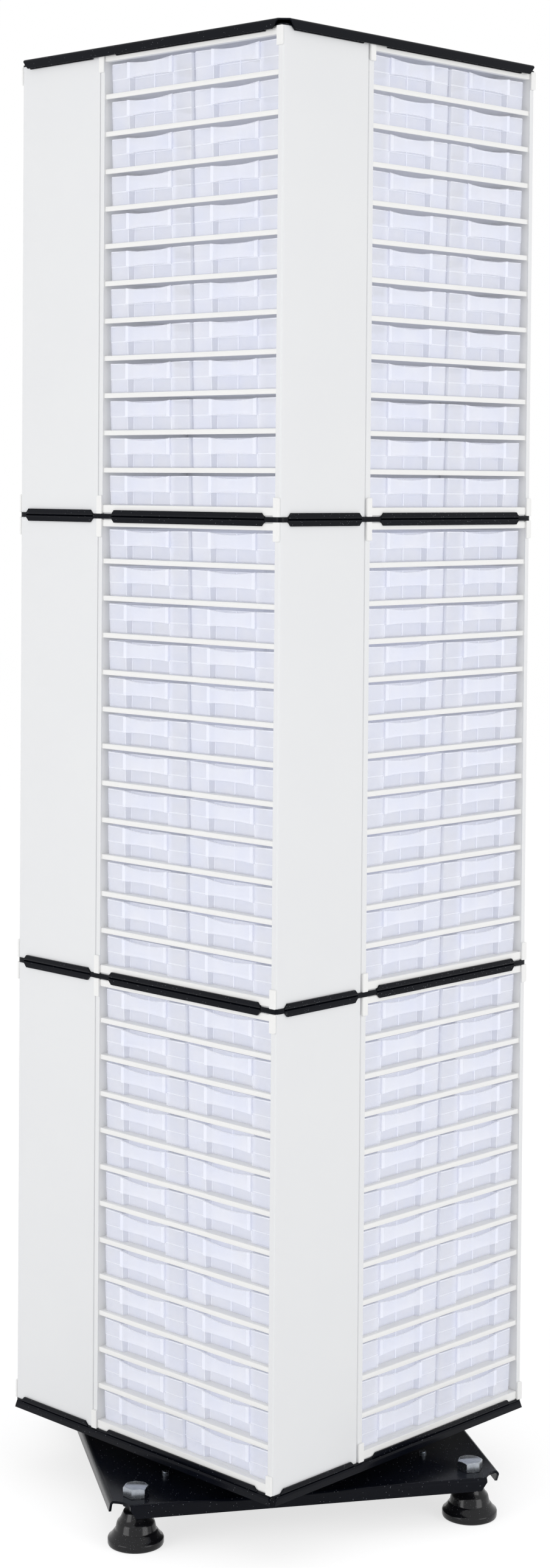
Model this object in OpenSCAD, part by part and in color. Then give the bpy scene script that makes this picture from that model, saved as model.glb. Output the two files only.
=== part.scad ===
// Rotating tower of small-parts drawer cabinets.
// Three tiers of four cabinets stand back to side round an open well, trapped between folded steel
// plates and clamped by four tie rods. The tower turns on a ball bearing above a levelled base plate.
// Millimetres, +Z up, origin on the floor under the turning axis. At rest the tower's sides face
// -Y (front), +X (right), +Y (back) and -X (left).

/* [Cabinet] */
// Width of one cabinet
cabinet_w = 306; // [280:1:340]
// Depth of one casing, front face to back
cabinet_d = 142.5; // [130:0.5:160]
// Height of one cabinet
cabinet_h = 551; // [520:1:600]
// Sheet thickness of the casing
casing_t = 1; // [0.8:0.1:1.5]
// Outer radius of the casing's front edges
casing_edge_r = 2; // [1.6:0.1:3]
// Width of the folded stile beside the drawers
stile_w = 8; // [6:0.5:8]

/* [Shelves] */
// Height of a shelf's front strip
strip_h = 6; // [5:0.5:8]
// Thickness of a shelf's front strip
strip_t = 2; // [1.5:0.1:3]
// Thickness of a shelf
shelf_t = 1.6; // [1.2:0.1:2.4]
// Set-back of the strips behind the stiles
strip_setback = 2; // [1.5:0.5:4]
// Height of the top rail
top_rail_h = 9.3; // [7:0.1:12]
// Height of the bottom rail
bottom_rail_h = 10.7; // [8:0.1:14]
// Depth of the end rails behind the front face
rail_d = 8; // [6:0.5:10]
// Height of the corner clips on the end rails
clip_h = 22; // [16:1:28]
// Width of the corner clips
clip_w = 9; // [8.5:0.5:10]
// How far the corner clips stand proud of the stiles
clip_proud = 3; // [2:0.5:4]

/* [Drawers] */
// Height of a drawer
drawer_h = 35; // [28:0.5:36]
// Set-back of the drawer fronts behind the stiles
drawer_setback = 6; // [6:0.5:9]
// Gap between a drawer's back and the back edge of its shelf
drawer_back_gap = 3.5; // [1:0.5:20]
// Gap beside and between the drawers
drawer_side_gap = 4; // [1:0.5:5]
// Wall of a drawer
drawer_wall = 1.5; // [1.2:0.1:2]
// Floor of a drawer
drawer_floor = 1.6; // [1.2:0.1:2.4]
// Radius of a drawer's front corners
drawer_corner_r = 4; // [3:0.5:8]
// Width of the finger recess at the front
recess_w = 74; // [60:1:74]
// Depth of the finger recess
recess_d = 7.5; // [5:0.5:10]
// Slant of each side of the finger recess
recess_slant = 3; // [2:0.5:6]
// Width of the pull
pull_w = 77; // [77:1:84]
// Height of the pull
pull_h = 20; // [14:0.5:22]
// How far the pull stands out from the drawer front
pull_proud = 2.8; // [2.4:0.2:3.6]
// Dip of the pull's top edge at its middle
pull_dip = 3; // [2:0.2:5]
// Rise of the pull's bottom edge at its middle
pull_arch = 1.5; // [1:0.5:4]
// Wall of the pull
pull_t = 1.6; // [1.2:0.1:2]

/* [Tower plates] */
// Sheet thickness of the tower's plates
sheet_t = 2; // [1.5:0.1:3]
// Outer bend radius of the tower's plates
bend_r = 3; // [2.6:0.1:4]
// Clearance between a lip and the cabinets
lip_gap = 0.5; // [0.3:0.1:1]
// Height of the lips above their plate
lip_h = 4.6; // [3.5:0.1:7]
// Slant of a lip's ends
lip_slant = 5; // [3:0.5:7]
// Short lip's start, from the plate's left end seen from outside
short_lip_from = 14; // [12:1:20]
// Short lip's end, from the plate's left end
short_lip_to = 138; // [120:1:140]
// Long lip's start, from the plate's left end
long_lip_from = 171; // [166:1:180]
// Long lip's end, set back from the plate's right end
long_lip_back = 26; // [20:1:34]
// Cut at each corner of the tower's plates
plate_corner = 6; // [4:1:8]
// Gap between the two plates of a joint
joint_gap = 2; // [1:0.5:4]
// Gap between the top lip plate and the cap
cap_gap = 4; // [3:0.5:6]
// Height of the cap's flange
cap_flange_h = 11.7; // [10:0.1:14]
// Corner cut-back of the cap's flange at its bend
cap_relief = 12; // [8:1:18]
// Slant of the cap flange's ends
cap_slant = 8; // [4:1:10]
// Height of the bottom pan's flange
pan_flange_h = 9; // [7:0.5:12]
// How far the pan's flange stands outside the lips
pan_proud = 1; // [0.5:0.5:3]
// Corner cut-back of the pan's flange at its bend
pan_relief = 7; // [6:0.5:10]
// How far the pan flange's free edge reaches past its bend at each end
pan_splay = 3; // [1:0.5:3]

/* [Tie rods] */
// Radius of the tie rods
rod_r = 4; // [3:0.5:5]
// Distance of each tie rod from the turning axis along X and Y
rod_at = 60; // [58:1:66]
// Clearance round a rod in its plate holes
rod_gap = 0.5; // [0.3:0.1:1]
// Nut size across flats
nut_af = 13; // [11:0.5:17]
// Nut height
nut_h = 6.5; // [5:0.5:8]
// Thread that stands past each nut
rod_end = 3; // [1:0.5:4]

/* [Bearing] */
// Space between the base plate and the bottom pan
bearing_h = 25.5; // [24:0.5:32]
// Height of each race
race_h = 10; // [9:0.5:11]
// Outer radius of the races
race_r = 145; // [142:1:160]
// Inner radius of the lower race
lower_race_bore_r = 104; // [100:1:108]
// Inner radius of the upper race
upper_race_bore_r = 72; // [66:1:74]
// Radius of the ball circle
ball_circle_r = 120; // [118:1:122]
// Radius of a ball
ball_r = 6; // [5.5:0.1:6.4]
// Running clearance round the balls
ball_gap = 0.3; // [0.2:0.05:0.4]
// Thickness of the ball cage
cage_t = 3; // [2:0.5:3.5]
// Width of the ball cage
cage_w = 24; // [20:1:28]

/* [Base] */
// Half of the base plate's side
base_half = 236; // [230:1:250]
// Height of the base plate's top above the floor
base_top = 56.5; // [54:0.5:70]
// Sheet thickness of the base plate
base_t = 3; // [2.5:0.1:4]
// Outer bend radius of the base plate
base_bend_r = 5; // [4.5:0.5:7]
// Height of the base plate's flange
base_flange_h = 15; // [12:0.5:18]
// Corner cut-back of the base plate's flange at its bend
base_relief = 21; // [18:1:26]
// Slant of the base flange's ends
base_slant = 7; // [3:1:9]
// Turn of the base plate against the tower at rest
base_turn = 56.6; // [0:0.1:89]
// Distance of each foot from the base plate's sides
foot_inset = 33; // [30:1:40]
// Radius of the plate screws
plate_screw_r = 4; // [3:0.5:5]
// Across-flats size of the plate screws' heads
plate_screw_af = 13; // [12:0.5:16]
// Height of the plate screws' heads
plate_screw_head_h = 5.3; // [4:0.1:6]
// How far the outer plate screws stand above the plate
plate_screw_proud = 5.5; // [3:0.5:8]
// Place of the outer plate screws along the base plate's X
plate_screw_x = 159; // [155:1:165]
// Place of the outer plate screws along the base plate's Y
plate_screw_y = 151; // [145:1:160]
// Radius of the circle of the screws that hold the lower race
race_screw_circle_r = 136; // [135:1:137]

/* [Feet] */
// Radius of a foot's rim
foot_r = 33; // [28:1:36]
// Height of a foot's rim
foot_rim_h = 9; // [6:0.5:11]
// Height of a foot
foot_h = 40; // [38:1:42]
// Radius of a foot's neck
foot_neck_r = 14.5; // [13:0.5:17]
// Radius of the levelling screws
foot_screw_r = 9; // [8:0.5:10]
// Across-flats size of the levelling screws' heads
foot_screw_af = 27; // [24:0.5:30]
// Height of the levelling screws' heads
foot_screw_head_h = 11.5; // [9:0.5:13]
// Height of the nut welded under the plate
weld_nut_h = 9; // [7:0.5:10]
// Clearance round the levelling screws
foot_screw_gap = 0.4; // [0.3:0.1:0.6]
// Depth of foot left under the levelling screw's tip
foot_sole = 12; // [8:1:16]

/* [Hidden] */
$fn = 48;
rows = 12;
tiers = 3;
balls = 24;
seat_gap = 0.3;
rack_gap = 0.3;
shelf_back_gap = 1;
corner_steps = 2;
pull_steps = 3;
head_chamfer = 1.2;
clip_chamfer = 2;
bend_lap = 1;
neck_back = 1;
tongue = 1.5;
groove_gap = 0.1;
race_screw_short = 2;
foot_sole_chamfer = 1.5;
foot_sole_edge = 2;
foot_cone_h = 7;
foot_cone_in = 7;
foot_ledge_h = 1;
foot_drum_in = 9;
foot_drum_h = 11;
foot_shoulder_in = 12;
over = 1;
cabinet_gap = 0.5;

tower_half = (cabinet_w + cabinet_d + cabinet_gap) / 2;
lip_half = tower_half + lip_gap + sheet_t;
plate_side = 2 * lip_half;
pan_half = lip_half + pan_proud;
cap_half = max(lip_half, tower_half + clip_proud) + lip_gap + sheet_t;
pan_z = base_top + bearing_h;
first_cabinet_z = pan_z + 2 * sheet_t;
tier_pitch = cabinet_h + 2 * sheet_t + joint_gap;
last_cabinet_top = first_cabinet_z + (tiers - 1) * tier_pitch + cabinet_h;
cap_top = last_cabinet_top + 2 * sheet_t + cap_gap;
cabinet_x = tower_half - cabinet_w / 2;

bay_w = cabinet_w - 2 * stile_w;
row_pitch = (cabinet_h - top_rail_h - bottom_rail_h + strip_h) / rows;
shelf_back = cabinet_d - casing_t - shelf_back_gap;
drawer_l = shelf_back - drawer_setback - drawer_back_gap;
rack_t = stile_w - casing_t - rack_gap;
drawer_w = (bay_w - 3 * drawer_side_gap) / 2;
drawer_x = (drawer_w + drawer_side_gap) / 2;

ball_z = base_top + bearing_h / 2;
foot_at = base_half - foot_inset;
rod_hole_r = rod_r + rod_gap;
washer_r = 2 * rod_r;

// Levels

// Bottom of the cabinets of a tier; the lowest tier is 0.
function tier_z(tier) = first_cabinet_z + tier * tier_pitch;

// Top face of the shelf under a row, above the cabinet's bottom; row 1 is the top one.
function row_floor(row) = cabinet_h - top_rail_h - row * row_pitch + strip_h;

// Folded sheet

// Section of a bend and its flange. The outer face is at x = 0, the plate's face at y = 0, and the
// flange hangs down.
module fold_section(flange_h, t, r) {
    translate([r, -r])
        intersection() {
            difference() {
                circle(r);
                circle(r - t);
            }
            translate([-r - over, 0])
                square(r + over);
        }
    translate([0, -flange_h])
        square([t, flange_h - r]);
    translate([r, -t])
        square([bend_lap, t]);
}

// One flange on the -Y side of a plate whose face is at z = 0. Its bend runs from x0 to x1, and
// each end of its free edge is slant further in.
module flange(half, x0, x1, flange_h, slant, t, r) {
    reach = max(0, -slant);
    intersection() {
        translate([x0 - reach, -half, 0])
            rotate([90, 0, 90])
                linear_extrude(x1 - x0 + 2 * reach)
                    fold_section(flange_h, t, r);
        translate([0, -half + r + bend_lap + over, 0])
            rotate([90, 0, 0])
                linear_extrude(r + bend_lap + 2 * over)
                    polygon([[x0, over], [x0, -r], [x0 + slant, -flange_h],
                        [x0 + slant, -flange_h - over], [x1 - slant, -flange_h - over],
                        [x1 - slant, -flange_h], [x1, -r], [x1, over]]);
    }
}

// Repeats its children on the four sides.
module four_sides() {
    for (side = [0:3])
        rotate(90 * side)
            children();
}

// Square plate under z = 0 with its corners cut at 45 degrees.
module cut_plate(half, corner, t) {
    translate([0, 0, -t])
        linear_extrude(t)
            intersection() {
                square(2 * half, center = true);
                rotate(45)
                    square(sqrt(2) * (2 * half - corner), center = true);
            }
}

// Holes for the four tie rods, through a sheet of thickness t under z = 0.
module rod_holes(t) {
    at_rods()
        translate([0, 0, -t - over])
            cylinder(r = rod_hole_r, h = t + 2 * over);
}

module at_rods() {
    for (sx = [-1, 1])
        for (sy = [-1, 1])
            translate([sx * rod_at, sy * rod_at, 0])
                children();
}

// Plate whose lips hang down round the cabinets' ends, top face at z = 0. The lips leave the
// corner clips free.
module lip_plate() {
    flange_h = sheet_t + lip_h;
    lips = [[short_lip_from, short_lip_to], [long_lip_from, plate_side - long_lip_back]];
    difference() {
        cut_plate(lip_half - neck_back, plate_corner, sheet_t);
        rod_holes(sheet_t);
        four_sides()
            for (lip = lips)
                translate([lip[0] - lip_half, -lip_half - over, -sheet_t - over])
                    cube([lip[1] - lip[0], bend_r + over, sheet_t + 2 * over]);
    }
    four_sides()
        for (lip = lips)
            flange(lip_half, lip[0] - lip_half, lip[1] - lip_half, flange_h, lip_slant,
                sheet_t, bend_r);
}

// Square pan with one flange on each side and its corners left open, top face at z = 0.
module pan_plate(half, relief, slant, flange_h, t, r) {
    difference() {
        cut_plate(half - r, relief - r, t);
        rod_holes(t);
    }
    four_sides()
        flange(half, -half + relief, half - relief, flange_h, slant, t, r);
}

module bottom_pan() {
    color("#15161a")
        translate([0, 0, pan_z + sheet_t])
            pan_plate(pan_half, pan_relief, -pan_splay, pan_flange_h, sheet_t, bend_r);
}

module bottom_lip_plate() {
    color("#15161a")
        translate([0, 0, pan_z + sheet_t])
            mirror([0, 0, 1])
                lip_plate();
}

// Plate over a tier, its lips down.
module plate_over_tier(tier) {
    color("#15161a")
        translate([0, 0, tier_z(tier) + cabinet_h + sheet_t])
            lip_plate();
}

// Plate under a tier, its lips up.
module plate_under_tier(tier) {
    color("#15161a")
        translate([0, 0, tier_z(tier) - sheet_t])
            mirror([0, 0, 1])
                lip_plate();
}

module top_cap() {
    color("#15161a")
        translate([0, 0, cap_top])
            pan_plate(cap_half, cap_relief, cap_slant, cap_flange_h, sheet_t, bend_r);
}

// Fasteners of the tower

module hex_prism(af, h) {
    cylinder(r = af / sqrt(3), h = h, $fn = 6);
}

// Hexagon head on z = 0 with its top corners turned off.
module hex_head(af, h) {
    corner_r = af / sqrt(3);
    intersection() {
        hex_prism(af, h);
        union() {
            cylinder(r = corner_r + over, h = h - head_chamfer);
            translate([0, 0, h - head_chamfer])
                cylinder(r1 = corner_r, r2 = corner_r - 2 * head_chamfer, h = head_chamfer);
        }
    }
}

module tie_rods() {
    low = pan_z - nut_h - rod_end - race_h;
    color("#b9bec4")
        at_rods()
            translate([0, 0, low])
                cylinder(r = rod_r, h = cap_top + nut_h + rod_end - low);
}

// Nuts under the upper race and on the cap, which clamp the stack.
module tie_nuts() {
    color("#b9bec4")
        at_rods()
            for (z = [pan_z - race_h - nut_h, cap_top])
                translate([0, 0, z])
                    difference() {
                        hex_prism(nut_af, nut_h);
                        translate([0, 0, -over])
                            cylinder(r = rod_r, h = nut_h + 2 * over);
                    }
}

// Washers on the tie rods that keep the plates of a joint, and the cap, apart.
module stack_spacers() {
    color("#b9bec4") {
        for (tier = [1:tiers - 1])
            translate([0, 0, tier_z(tier) - sheet_t - joint_gap])
                spacer_set(joint_gap);
        translate([0, 0, cap_top - sheet_t - cap_gap])
            spacer_set(cap_gap);
    }
}

module spacer_set(h) {
    at_rods()
        difference() {
            cylinder(r = washer_r, h = h);
            translate([0, 0, -over])
                cylinder(r = rod_hole_r, h = h + 2 * over);
        }
}

// Bearing

// Groove that the balls run in, cut round a race.
module ball_track() {
    translate([0, 0, ball_z])
        rotate_extrude()
            translate([ball_circle_r, 0])
                circle(ball_r + ball_gap);
}

module lower_race() {
    color("#8f959b")
        difference() {
            translate([0, 0, base_top])
                difference() {
                    cylinder(r = race_r, h = race_h);
                    translate([0, 0, -over])
                        cylinder(r = lower_race_bore_r, h = race_h + 2 * over);
                    at_race_screws()
                        translate([0, 0, -over])
                            cylinder(r = plate_screw_r + rod_gap, h = race_h + 2 * over);
                }
            ball_track();
        }
}

module upper_race() {
    color("#8f959b")
        difference() {
            translate([0, 0, pan_z - race_h])
                difference() {
                    cylinder(r = race_r, h = race_h);
                    translate([0, 0, -over])
                        cylinder(r = upper_race_bore_r, h = race_h + 2 * over);
                    at_rods()
                        translate([0, 0, -over])
                            cylinder(r = rod_hole_r, h = race_h + 2 * over);
                }
            ball_track();
        }
}

module at_balls() {
    for (k = [0:balls - 1])
        rotate(360 / balls * k)
            translate([ball_circle_r, 0, 0])
                children();
}

module ball_cage() {
    color("#c9c2a5")
        translate([0, 0, ball_z - cage_t / 2])
            difference() {
                cylinder(r = ball_circle_r + cage_w / 2, h = cage_t);
                translate([0, 0, -over])
                    cylinder(r = ball_circle_r - cage_w / 2, h = cage_t + 2 * over);
                at_balls()
                    translate([0, 0, -over])
                        cylinder(r = ball_r + ball_gap, h = cage_t + 2 * over);
            }
}

module bearing_balls() {
    color("#d5d9dd")
        translate([0, 0, ball_z])
            at_balls()
                sphere(ball_r);
}

// Base

module at_feet() {
    for (k = [0:3])
        rotate(base_turn + 90 * k)
            translate([-foot_at, -foot_at, 0])
                rotate(-90 * k)
                    children();
}

module at_outer_screws() {
    for (sx = [-1, 1])
        for (sy = [-1, 1])
            rotate(base_turn)
                translate([sx * plate_screw_x, sy * plate_screw_y, 0])
                    children();
}

module at_race_screws() {
    for (k = [0:3])
        rotate(base_turn + 90 * k)
            translate([race_screw_circle_r, 0, 0])
                children();
}

// Base plate with its flanges, and a nut welded under it at each corner.
module base_plate() {
    color("#15161a")
        difference() {
            union() {
                translate([0, 0, base_top])
                    rotate(base_turn) {
                        difference() {
                            cut_plate(base_half - base_bend_r, 0, base_t);
                            four_sides()
                                translate([-base_half, -base_half, -base_t - over])
                                    cylinder(r = base_relief, h = base_t + 2 * over);
                        }
                        four_sides()
                            flange(base_half, -base_half + base_relief, base_half - base_relief,
                                base_flange_h, base_slant, base_t, base_bend_r);
                    }
                at_feet()
                    translate([0, 0, base_top - base_t - weld_nut_h])
                        hex_prism(foot_screw_af, weld_nut_h);
            }
            at_feet()
                translate([0, 0, base_top - base_t - weld_nut_h - over])
                    cylinder(r = foot_screw_r + foot_screw_gap, h = base_t + weld_nut_h + 2 * over);
            at_outer_screws()
                plate_screw_hole();
            at_race_screws()
                plate_screw_hole();
        }
}

module plate_screw_hole() {
    translate([0, 0, base_top - base_t - over])
        cylinder(r = plate_screw_r + rod_gap, h = base_t + 2 * over);
}

// Levelling screws: the head on the plate, the shank through the welded nut into the foot.
module foot_screws() {
    low = foot_sole + seat_gap;
    color("#b9bec4")
        at_feet() {
            translate([0, 0, base_top])
                hex_head(foot_screw_af, foot_screw_head_h);
            translate([0, 0, low])
                cylinder(r = foot_screw_r, h = base_top - low);
        }
}

// Outer screws, whose ends stand above the plate, and the four that hold the lower race.
module plate_screws() {
    color("#b9bec4") {
        at_outer_screws()
            plate_screw(plate_screw_proud);
        at_race_screws()
            plate_screw(race_h - race_screw_short);
    }
}

module plate_screw(proud) {
    seat = base_top - base_t;
    translate([0, 0, seat])
        mirror([0, 0, 1])
            hex_head(plate_screw_af, plate_screw_head_h);
    translate([0, 0, seat])
        cylinder(r = plate_screw_r, h = base_t + proud);
}

// Stepped foot: a rim, a low cone, a drum and a shoulder that narrows to the neck.
module foot_pads() {
    cone_r = foot_r - foot_cone_in;
    drum_r = foot_r - foot_drum_in;
    shoulder_r = foot_r - foot_shoulder_in;
    cone_z = foot_rim_h + foot_cone_h;
    drum_z = cone_z + foot_drum_h;
    color("#1a1a1c")
        at_feet()
            difference() {
                rotate_extrude()
                    polygon([[0, 0], [foot_r - foot_sole_chamfer, 0], [foot_r, foot_sole_edge],
                        [foot_r, foot_rim_h], [cone_r, cone_z],
                        [drum_r, cone_z + foot_ledge_h], [shoulder_r, drum_z],
                        [foot_neck_r, foot_h], [0, foot_h]]);
                translate([0, 0, foot_sole])
                    cylinder(r = foot_screw_r + foot_screw_gap, h = foot_h);
            }
}

// Cabinets

// Places its children as one cabinet of a tier: side 0 looks to the front, 1 to the right,
// 2 to the back and 3 to the left.
module at_cabinet(tier, side) {
    rotate(90 * side)
        translate([cabinet_x, -tower_half, tier_z(tier)])
            children();
}

// Outline of a casing seen from above, its front edges rounded.
module casing_outline() {
    difference() {
        translate([-cabinet_w / 2, 0])
            square([cabinet_w, cabinet_d]);
        for (s = [-1, 1])
            translate([s * (cabinet_w + over - casing_edge_r) / 2, (casing_edge_r - over) / 2])
                square(casing_edge_r + over, center = true);
    }
    for (s = [-1, 1])
        translate([s * (cabinet_w / 2 - casing_edge_r), casing_edge_r])
            circle(casing_edge_r);
}

// Steel casing: two sides with folded stiles, top, bottom and back.
module casing() {
    difference() {
        linear_extrude(cabinet_h)
            casing_outline();
        translate([-cabinet_w / 2 + casing_t, casing_t, casing_t])
            cube([cabinet_w - 2 * casing_t, cabinet_d - 2 * casing_t, cabinet_h - 2 * casing_t]);
        translate([-bay_w / 2, -over, casing_t])
            cube([bay_w, casing_t + 2 * over, cabinet_h - 2 * casing_t]);
    }
}

module casings(tier) {
    color("#e9eaeb")
        for (side = [0:3])
            at_cabinet(tier, side)
                casing();
}

// One shelf, its top at z = 0, tongued into the racks. The lowest one has no strip and starts
// behind the bottom rail.
module shelf(lowest) {
    front = lowest ? rail_d : strip_setback;
    translate([-bay_w / 2 - tongue, front, -shelf_t])
        cube([bay_w + 2 * tongue, shelf_back - front, shelf_t]);
    if (!lowest)
        translate([-bay_w / 2, front, -strip_h])
            cube([bay_w, strip_t, strip_h]);
}

module shelves() {
    color("#f3f3f2")
        for (tier = [0:tiers - 1])
            for (side = [0:3])
                at_cabinet(tier, side)
                    for (row = [1:rows])
                        translate([0, 0, row_floor(row)])
                            shelf(row == rows);
}

// Grooved plates inside each casing's sides, which carry the shelves.
module side_racks() {
    color("#f3f3f2")
        for (tier = [0:tiers - 1])
            for (side = [0:3])
                at_cabinet(tier, side)
                    for (s = [0, 1])
                        mirror([s, 0, 0])
                            side_rack();
}

module side_rack() {
    difference() {
        translate([bay_w / 2, casing_t, casing_t])
            cube([rack_t, shelf_back - casing_t, cabinet_h - 2 * casing_t]);
        for (row = [1:rows])
            translate([bay_w / 2 - over, strip_setback - groove_gap,
                row_floor(row) - shelf_t - groove_gap])
                cube([tongue + groove_gap + over, shelf_back, shelf_t + 2 * groove_gap]);
    }
}

// Rail across one end of a cabinet's front, with a clip over each stile. It is drawn for the
// bottom; rail_h is its height from the cabinet's end.
module end_rail(rail_h) {
    translate([-bay_w / 2, 0, casing_t])
        cube([bay_w, rail_d, rail_h - casing_t]);
    for (s = [0, 1])
        mirror([s, 0, 0]) {
            rotate([90, 0, 0])
                linear_extrude(clip_proud)
                    polygon([[cabinet_w / 2 - clip_w, 0], [cabinet_w / 2, 0],
                        [cabinet_w / 2, clip_h - clip_chamfer],
                        [cabinet_w / 2 - clip_chamfer, clip_h], [cabinet_w / 2 - clip_w, clip_h]]);
            translate([cabinet_w / 2 - clip_w, -clip_proud, casing_t])
                cube([clip_w - stile_w, clip_proud + rail_d, rail_h - casing_t]);
        }
}

module end_rails() {
    color("#f3f3f2")
        for (tier = [0:tiers - 1])
            for (side = [0:3])
                at_cabinet(tier, side) {
                    end_rail(bottom_rail_h);
                    translate([0, 0, cabinet_h])
                        mirror([0, 0, 1])
                            end_rail(top_rail_h);
                }
}

// Drawers

// Outline of a drawer seen from above, drawn inset from its outside. The front is at y = 0, with
// rounded corners and the finger recess between them.
function drawer_outline(inset) =
    let (half = drawer_w / 2 - inset, r = drawer_corner_r - inset, mouth = recess_w / 2 + inset)
    concat(
        [for (k = [0:corner_steps]) let (a = 90 * k / corner_steps)
            [-half + r - r * cos(a), inset + r - r * sin(a)]],
        [[-mouth, inset], [-mouth + recess_slant, inset + recess_d],
            [mouth - recess_slant, inset + recess_d], [mouth, inset]],
        [for (k = [0:corner_steps]) let (a = 90 - 90 * k / corner_steps)
            [half - r + r * cos(a), inset + r - r * sin(a)]],
        [[half, drawer_l - inset], [-half, drawer_l - inset]]);

// Front of the pull: its top edge dips and its bottom edge rises towards the middle.
function pull_outline() =
    concat(
        [for (k = [0:pull_steps]) let (u = 2 * k / pull_steps - 1)
            [u * pull_w / 2, drawer_h - pull_h + pull_arch * (1 - u * u)]],
        [for (k = [0:pull_steps]) let (u = 1 - 2 * k / pull_steps)
            [u * pull_w / 2, drawer_h - pull_dip * (1 - u * u)]]);

// One drawer, its front at y = 0 and its floor on z = 0.
module drawer() {
    difference() {
        linear_extrude(drawer_h)
            polygon(drawer_outline(0));
        translate([0, 0, drawer_floor])
            linear_extrude(drawer_h)
                polygon(drawer_outline(drawer_wall));
    }
    translate([0, -pull_proud + pull_t, 0])
        rotate([90, 0, 0])
            linear_extrude(pull_t)
                polygon(pull_outline());
    for (s = [0, 1])
        mirror([s, 0, 0])
            translate([pull_w / 2 - pull_t, -pull_proud, drawer_h - pull_h])
                cube([pull_t, pull_proud + drawer_wall / 2, pull_h]);
}

// Places its children as a drawer; column -1 is the left one seen from the cabinet's front.
module at_drawer(row, column) {
    translate([column * drawer_x, drawer_setback, row_floor(row) + seat_gap])
        children();
}

module drawer_single(row, column) {
    color("#dde3f2")
        at_cabinet(1, 0)
            at_drawer(row, column)
                drawer();
}

// All the drawers of one cabinet.
module drawer_bank(tier, side) {
    color("#dde3f2")
        at_cabinet(tier, side)
            for (row = [1:rows])
                for (column = [-1, 1])
                    at_drawer(row, column)
                        drawer();
}

base_plate();
foot_pads();
foot_screws();
plate_screws();
lower_race();
ball_cage();
bearing_balls();
upper_race();
bottom_pan();
bottom_lip_plate();
plate_over_tier(0);  // lower_joint_under_plate
plate_under_tier(1);  // lower_joint_over_plate
plate_over_tier(1);  // upper_joint_under_plate
plate_under_tier(2);  // upper_joint_over_plate
plate_over_tier(2);  // top_lip_plate
top_cap();
tie_rods();
tie_nuts();
stack_spacers();
casings(0);  // lower_casings
casings(1);  // middle_casings
casings(2);  // upper_casings
shelves();
side_racks();
end_rails();
drawer_single(1, -1);  // drawer_01_left
drawer_single(1, 1);  // drawer_01_right
drawer_single(2, -1);  // drawer_02_left
drawer_single(2, 1);  // drawer_02_right
drawer_single(3, -1);  // drawer_03_left
drawer_single(3, 1);  // drawer_03_right
drawer_single(4, -1);  // drawer_04_left
drawer_single(4, 1);  // drawer_04_right
drawer_single(5, -1);  // drawer_05_left
drawer_single(5, 1);  // drawer_05_right
drawer_single(6, -1);  // drawer_06_left
drawer_single(6, 1);  // drawer_06_right
drawer_single(7, -1);  // drawer_07_left
drawer_single(7, 1);  // drawer_07_right
drawer_single(8, -1);  // drawer_08_left
drawer_single(8, 1);  // drawer_08_right
drawer_single(9, -1);  // drawer_09_left
drawer_single(9, 1);  // drawer_09_right
drawer_single(10, -1);  // drawer_10_left
drawer_single(10, 1);  // drawer_10_right
drawer_single(11, -1);  // drawer_11_left
drawer_single(11, 1);  // drawer_11_right
drawer_single(12, -1);  // drawer_12_left
drawer_single(12, 1);  // drawer_12_right
drawer_bank(0, 0);  // lower_front_drawers
drawer_bank(0, 1);  // lower_right_drawers
drawer_bank(0, 2);  // lower_back_drawers
drawer_bank(0, 3);  // lower_left_drawers
drawer_bank(1, 1);  // middle_right_drawers
drawer_bank(1, 2);  // middle_back_drawers
drawer_bank(1, 3);  // middle_left_drawers
drawer_bank(2, 0);  // upper_front_drawers
drawer_bank(2, 1);  // upper_right_drawers
drawer_bank(2, 2);  // upper_back_drawers
drawer_bank(2, 3);  // upper_left_drawers
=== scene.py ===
"""Dressed model of a rotating floor tower of small-parts drawer cabinets.

Twelve white sheet-steel cabinets with clear drawers stand in a pinwheel, three tiers high, between
black folded plates. The tower turns on a ball bearing over a black base plate with levelling feet.
Sizes are in millimetres and are turned to metres where a mesh is made.
"""

import logging
import math
from dataclasses import dataclass, field
from enum import Enum
from typing import Callable, Iterable, Sequence

import bmesh
import bpy
from mathutils import Matrix, Vector


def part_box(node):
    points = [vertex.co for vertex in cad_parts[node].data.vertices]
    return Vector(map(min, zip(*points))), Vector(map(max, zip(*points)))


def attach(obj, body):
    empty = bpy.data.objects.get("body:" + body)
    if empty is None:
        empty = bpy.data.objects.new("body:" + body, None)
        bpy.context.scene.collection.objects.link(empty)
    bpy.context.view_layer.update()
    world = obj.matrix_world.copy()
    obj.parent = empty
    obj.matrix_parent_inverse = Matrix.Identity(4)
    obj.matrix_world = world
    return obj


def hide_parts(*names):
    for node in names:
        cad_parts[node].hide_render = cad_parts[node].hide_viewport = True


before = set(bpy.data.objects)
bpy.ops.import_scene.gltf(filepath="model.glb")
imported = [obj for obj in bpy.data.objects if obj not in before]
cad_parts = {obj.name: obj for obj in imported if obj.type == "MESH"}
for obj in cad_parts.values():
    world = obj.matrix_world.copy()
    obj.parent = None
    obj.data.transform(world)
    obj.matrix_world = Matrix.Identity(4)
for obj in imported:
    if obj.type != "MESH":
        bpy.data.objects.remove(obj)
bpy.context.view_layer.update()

LOG = logging.getLogger("tower")
MM = 0.001
IMAGE_W = 904
IMAGE_H = 2576
# Faces that meet at a larger angle than this keep a hard edge, in degrees.
CREASE = 35.0
# Numbers of a colour Mix node's sockets: the share, the colours under and over, and the result.
MIX_SHARE, MIX_UNDER, MIX_OVER, MIX_RESULT = 0, 6, 7, 2
WHITE = (1.0, 1.0, 1.0, 1.0)

Point = tuple[float, float]
Loop = list[Vector]
Mesh = bpy.types.Mesh
Node = bpy.types.Node
Socket = bpy.types.NodeSocket
Tree = bpy.types.NodeTree


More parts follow.
